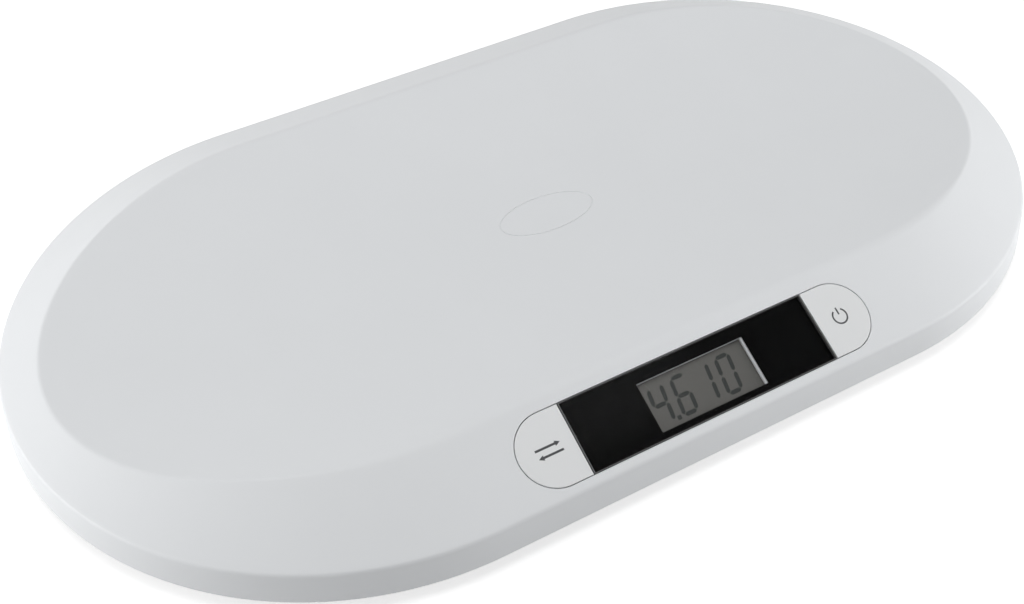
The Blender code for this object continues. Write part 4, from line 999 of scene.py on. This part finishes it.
# Weighing feet: a grey turned cup on a ribbed black rubber pad under each corner. The cup's hub
# bears on the tongue of the load cell in the base, which a nylon frame holds down.
FOOT_X = 0.185
FOOT_Y = 0.095
FOOT_PLACES = [(sx * FOOT_X, sy * FOOT_Y) for sx in (-1, 1) for sy in (-1, 1)]
BASE_RECESS = 0.0005
BASE_FLOOR = 0.0025
BASE_UNDERSIDE = RIM_HEIGHT + BASE_RECESS
BASE_TOP = BASE_UNDERSIDE + BASE_FLOOR
FOOT_RADIUS = 0.017
FOOT_HUB_RADIUS = 0.0095
FOOT_ROUND = 0.0012
FOOT_TRAVEL = 0.00025
PAD_RADIUS = 0.0145
PAD_HEIGHT = 0.002
PAD_ROUND = 0.0005
PAD_SINK = 0.0008
PAD_RINGS = 3
PAD_GROOVE = 0.0004
TURN_STEPS = 72
ROUND_STEPS = 4
CUP_GREY = (0.30, 0.305, 0.31)
PAD_BLACK = (0.025, 0.025, 0.026)


def quarter(middle_radius, middle_height, radius, start, end):
    """Points on an arc about a middle in the profile's plane, between two angles in degrees."""
    turn = np.radians(np.linspace(start, end, ROUND_STEPS + 1))
    return [(middle_radius + radius * math.cos(a), middle_height + radius * math.sin(a)) for a in turn]


def cup_profile():
    """From the middle of the hub's top round the disc's two rounded edges to the pad's seat."""
    hub_top = BASE_TOP - FOOT_TRAVEL
    disc_top = BASE_UNDERSIDE - FOOT_TRAVEL - 2 * SEAT_GAP
    seat = PAD_HEIGHT + SEAT_GAP
    rim = seat - PAD_SINK
    middle = FOOT_RADIUS - FOOT_ROUND
    profile = [(FOOT_ROUND, hub_top), (FOOT_HUB_RADIUS, hub_top), (FOOT_HUB_RADIUS, disc_top)]
    profile += quarter(middle, disc_top - FOOT_ROUND, FOOT_ROUND, 90.0, 0.0)
    profile += quarter(middle, rim + FOOT_ROUND, FOOT_ROUND, 0.0, -90.0)
    return profile + [
        (PAD_RADIUS + SEAT_GAP, rim), (PAD_RADIUS + SEAT_GAP, seat), (FOOT_ROUND, seat)]


def pad_profile():
    """From the top round the rounded edge to the tread, which has shallow ring grooves."""
    profile = [(PAD_ROUND, PAD_HEIGHT), (PAD_RADIUS, PAD_HEIGHT)]
    profile += quarter(PAD_RADIUS - PAD_ROUND, PAD_ROUND, PAD_ROUND, 0.0, -90.0)
    pitch = PAD_RADIUS / (PAD_RINGS + 1)
    for ring in range(PAD_RINGS, 0, -1):
        middle = ring * pitch
        profile += [(middle + PAD_GROOVE, 0.0), (middle, PAD_GROOVE), (middle - PAD_GROOVE, 0.0)]
    return profile + [(PAD_ROUND, 0.0)]


CUP_PAINT = moulded_plastic(
    "cup_plastic", CUP_GREY, glaze=0.45, scale=1500.0, depth=0.00002, dark=0.93)
PAD_PAINT = plain_finish("pad_rubber", PAD_BLACK, glaze=0.8, scale=1200.0, depth=0.00004, dark=0.7)
for number, (x, y) in enumerate(FOOT_PLACES, 1):
    at = Matrix.Translation((x, y, 0.0))
    body = "foot_%d" % number
    cup = lathe(cup_profile(), TURN_STEPS, at)
    place_piece("foot_cup_fine_%d" % number, cup, CUP_PAINT, body, ("foot_cup_%d" % number,))
    pad = lathe(pad_profile(), TURN_STEPS, at)
    place_piece("foot_pad_fine_%d" % number, pad, PAD_PAINT, body, ("foot_pad_%d" % number,))

# Load cells: spring steel plates brushed along their length, each held down by a cream nylon
# frame.
STEEL = (0.56, 0.57, 0.58)
NYLON = (0.72, 0.71, 0.67)
BRUSHING = (1.0, 12.0, 1.0)
CELL_NODES = ["load_cell_%d" % number for number in range(1, 5)]
CLAMP_NODES = ["cell_clamp_%d" % number for number in range(1, 5)]
CELL_PAINT = plain_finish(
    "cell_steel", STEEL, glaze=0.32, scale=300.0, depth=0.00001, dark=0.8, metallic=1.0, stretch=BRUSHING)
dress(CELL_NODES, CELL_PAINT)
CLAMP_PAINT = plain_finish("clamp_nylon", NYLON, glaze=0.5, scale=900.0, depth=0.00002, dark=0.93)
dress(CLAMP_NODES, CLAMP_PAINT)

# Screws: zinc-plated pan heads with a cross recess, eight up through sunk holes in the base and
# four small ones through the board.
SCREW_RADIUS = 0.0015
SCREW_LENGTH = 0.012
SCREW_HEAD_RADIUS = 0.003
SCREW_HEAD_HEIGHT = 0.002
SCREW_SINK = 0.0035
SCREW_STEPS = 32
RECESS_HALF = 0.00032
RECESS_REACH = 0.0017
RECESS_DEPTH = 0.0011
BOSS_Y = 0.103
BOSS_SIDE_X = 0.115
BOSS_END_X = 0.228
BOSS_PLACES = [(0.0, -BOSS_Y), (0.0, BOSS_Y), (-BOSS_END_X, 0.0), (BOSS_END_X, 0.0)]
BOSS_PLACES += [(sx * BOSS_SIDE_X, sy * BOSS_Y) for sx in (-1, 1) for sy in (-1, 1)]


def screw_mesh():
    """A pan head with its crown down at z = 0 and its shank up, cut by two crossed slots."""
    share = np.linspace(0.0, 1.0, ROUND_STEPS + 2)
    edge = SCREW_HEAD_RADIUS * 2 / 3
    crown = bend(edge, SCREW_HEAD_RADIUS, SCREW_HEAD_RADIUS, share)
    rise = bend(0.0, 0.0, SCREW_HEAD_HEIGHT / 2, share)
    profile = [(SCREW_RADIUS / 2, 0.0)] + list(zip(crown, rise))
    profile += [
        (SCREW_HEAD_RADIUS, SCREW_HEAD_HEIGHT), (SCREW_RADIUS, SCREW_HEAD_HEIGHT),
        (SCREW_RADIUS, SCREW_LENGTH), (SCREW_RADIUS / 2, SCREW_HEAD_HEIGHT + SCREW_LENGTH)]
    slots = [
        mesh_of("slot", *prism(box_outline(*half), [(0.0, -OVERRUN), (0.0, RECESS_DEPTH)]))
        for half in ((RECESS_REACH, RECESS_HALF), (RECESS_HALF, RECESS_REACH))]
    return cut_and_joined(lathe(profile, SCREW_STEPS), [], [recalculated(slot) for slot in slots])


SCREW_PAINT = plain_finish(
    "screw_zinc", STEEL, glaze=0.3, scale=1500.0, depth=0.00001, dark=0.8, metallic=1.0)
SCREW_LEVEL = BASE_UNDERSIDE + SCREW_SINK - SCREW_HEAD_HEIGHT - SEAT_GAP
SCREW_SHAPE = screw_mesh()
for number, (x, y) in enumerate(BOSS_PLACES, 1):
    mesh = SCREW_SHAPE.copy()
    mesh.transform(Matrix.Translation((x, y, SCREW_LEVEL)))
    name = "housing_screw_%d" % number
    place_piece(name + "_fine", mesh, SCREW_PAINT, "housing", (name,))
bpy.data.meshes.remove(SCREW_SHAPE)
dress(["board_screw_%d" % number for number in range(1, 5)], SCREW_PAINT)

# Battery bay: two AAA cells in printed sleeves, each on a nickel-plated coil spring, with a
# bridge plate at one end, a contact plate for each pole at the other, and the leads.
BATTERY_RADIUS = 0.00525
BATTERY_LENGTH = 0.0445
BATTERY_PITCH = 0.0112
BATTERY_LIFT = 0.0088
BATTERY_Z = BASE_UNDERSIDE + BATTERY_LIFT
NIPPLE_RADIUS = 0.0019
NIPPLE_HEIGHT = 0.001
SPRING_LENGTH = 0.004
SPRING_RADIUS = 0.0026
SPRING_TOP_RADIUS = 0.0018
SPRING_WIRE_RADIUS = 0.00035
SPRING_TURNS = 3
SPRING_POINTS = 28
WIRE_STEPS = 10
CONTACT_THICKNESS = 0.0004
BAY_HALF_LENGTH = (BATTERY_LENGTH + SPRING_LENGTH + 2 * CONTACT_THICKNESS + 5 * SEAT_GAP) / 2
BATTERY_START = -BAY_HALF_LENGTH + SPRING_LENGTH + CONTACT_THICKNESS + 3 * SEAT_GAP
SPRING_SEAT = BAY_HALF_LENGTH - CONTACT_THICKNESS - 2 * SEAT_GAP
SLEEVE_BAND = 0.30
SLEEVE_BLUR = SEAT_GAP / 3
SLEEVE_GREEN = (0.02, 0.10, 0.05)
SLEEVE_COPPER = (0.60, 0.26, 0.10)
SLEEVE_GLAZE = (0.22, 0.34)
SLEEVE_METAL = 0.6
SLEEVE_SCALE = 700.0
SLEEVE_GRAIN = 0.000008
NICKEL = (0.66, 0.65, 0.62)


def battery_profile():
    """From the flat end up the sleeve's rounded edges to the nipple."""
    body = BATTERY_LENGTH - NIPPLE_HEIGHT
    edge = BATTERY_RADIUS / 12
    side = BATTERY_RADIUS - edge
    return [(edge, 0.0)] + quarter(side, edge, edge, -90.0, 0.0) + \
        quarter(side, body - edge, edge, 0.0, 90.0) + [
            (NIPPLE_RADIUS, body), (NIPPLE_RADIUS, BATTERY_LENGTH), (edge, BATTERY_LENGTH)]


def sleeve_paint(side):
    """Dark green sleeve with a copper band towards the nipple, by the place along x."""
    name = "battery_sleeve_%d" % side
    paint, nodes, links, shader = paint_base(name, SLEEVE_GREEN, SLEEVE_GLAZE[1], SLEEVE_METAL)
    place = nodes.new("ShaderNodeTexCoord")
    parts = nodes.new("ShaderNodeSeparateXYZ")
    links.new(place.outputs["Object"], parts.inputs["Vector"])
    band = nodes.new("ShaderNodeMapRange")
    edge = side * (BATTERY_START + BATTERY_LENGTH * (1 - SLEEVE_BAND))
    band.inputs["From Min"].default_value = edge - side * SLEEVE_BLUR
    band.inputs["From Max"].default_value = edge + side * SLEEVE_BLUR
    links.new(parts.outputs["X"], band.inputs["Value"])
    mix = nodes.new("ShaderNodeMix")
    mix.data_type = "RGBA"
    mix.inputs["A"].default_value = (*SLEEVE_GREEN, 1.0)
    mix.inputs["B"].default_value = (*SLEEVE_COPPER, 1.0)
    links.new(band.outputs["Result"], mix.inputs["Factor"])
    links.new(mix.outputs["Result"], shader.inputs["Base Color"])
    grain = noise(nodes, links, SLEEVE_SCALE)
    links.new(ranged(nodes, links, grain, *SLEEVE_GLAZE), shader.inputs["Roughness"])
    bumped(nodes, links, shader, grain, SLEEVE_GRAIN)
    return paint


def coil_points():
    """A cone's helix: the radius runs from wide to narrow as the height runs up the spring."""
    share = np.linspace(0.0, 1.0, SPRING_TURNS * SPRING_POINTS + 1)
    radius = SPRING_RADIUS + (SPRING_TOP_RADIUS - SPRING_RADIUS) * share
    turn = 2 * math.pi * SPRING_TURNS * share
    rise = SPRING_WIRE_RADIUS + (SPRING_LENGTH - 2 * SPRING_WIRE_RADIUS) * share
    return np.column_stack([radius * np.cos(turn), radius * np.sin(turn), rise])


def tube_mesh(name, path, radius, steps, matrix=None):
    """A round tube: at each path point a ring in the plane of the path's normal and the crosswise."""
    along = np.gradient(path, axis=0)
    along /= np.linalg.norm(along, axis=1)[:, None]
    crosswise = np.cross(along, np.array([0.0, 0.0, 1.0]))
    crosswise /= np.linalg.norm(crosswise, axis=1)[:, None]
    upright = np.cross(crosswise, along)
    turn = np.linspace(0.0, 2 * math.pi, steps, endpoint=False)[None, :, None]
    rings = crosswise[:, None, :] * np.cos(turn) + upright[:, None, :] * np.sin(turn)
    points = (path[:, None, :] + radius * rings).reshape(-1, 3)
    faces = ring_faces(len(path), steps).tolist()
    faces.append(list(range(steps))[::-1])
    faces.append(list(range((len(path) - 1) * steps, len(path) * steps)))
    return recalculated(mesh_of(name, points, faces, matrix))


PLATED_PAINT = plain_finish(
    "contact_nickel", NICKEL, glaze=0.22, scale=500.0, depth=0.000006, metallic=1.0)
for number, side in ((1, 1), (2, -1)):
    lying = Matrix.Rotation(side * math.pi / 2, 4, "Y")
    y = side * BATTERY_PITCH / 2
    at = Matrix.Translation((side * BATTERY_START, y, BATTERY_Z)) @ lying
    cell = lathe(battery_profile(), TURN_STEPS, at)
    name = "battery_%d" % number
    place_piece(name + "_fine", cell, sleeve_paint(side), "housing", (name,))
    at = Matrix.Translation((-side * SPRING_SEAT, y, BATTERY_Z)) @ lying
    coil = tube_mesh("coil", coil_points(), SPRING_WIRE_RADIUS, WIRE_STEPS, at)
    name = "battery_spring_%d" % number
    place_piece(name + "_fine", coil, PLATED_PAINT, "housing", (name,))
dress(["battery_bridge", "contact_plus", "contact_minus"], PLATED_PAINT)
LEAD_COLOURS = {
    "lead_pvc_white": ((0.70, 0.70, 0.68), ["cell_lead_%d" % number for number in range(1, 5)]),
    "lead_pvc_red": ((0.50, 0.02, 0.02), ["battery_lead_plus"]),
    "lead_pvc_black": ((0.02, 0.02, 0.02), ["battery_lead_minus"])}
for name, (colour, names) in LEAD_COLOURS.items():
    dress(names, plain_finish(name, colour, glaze=0.42, scale=1100.0, depth=0.000015, dark=0.88))

bpy.context.view_layer.update()
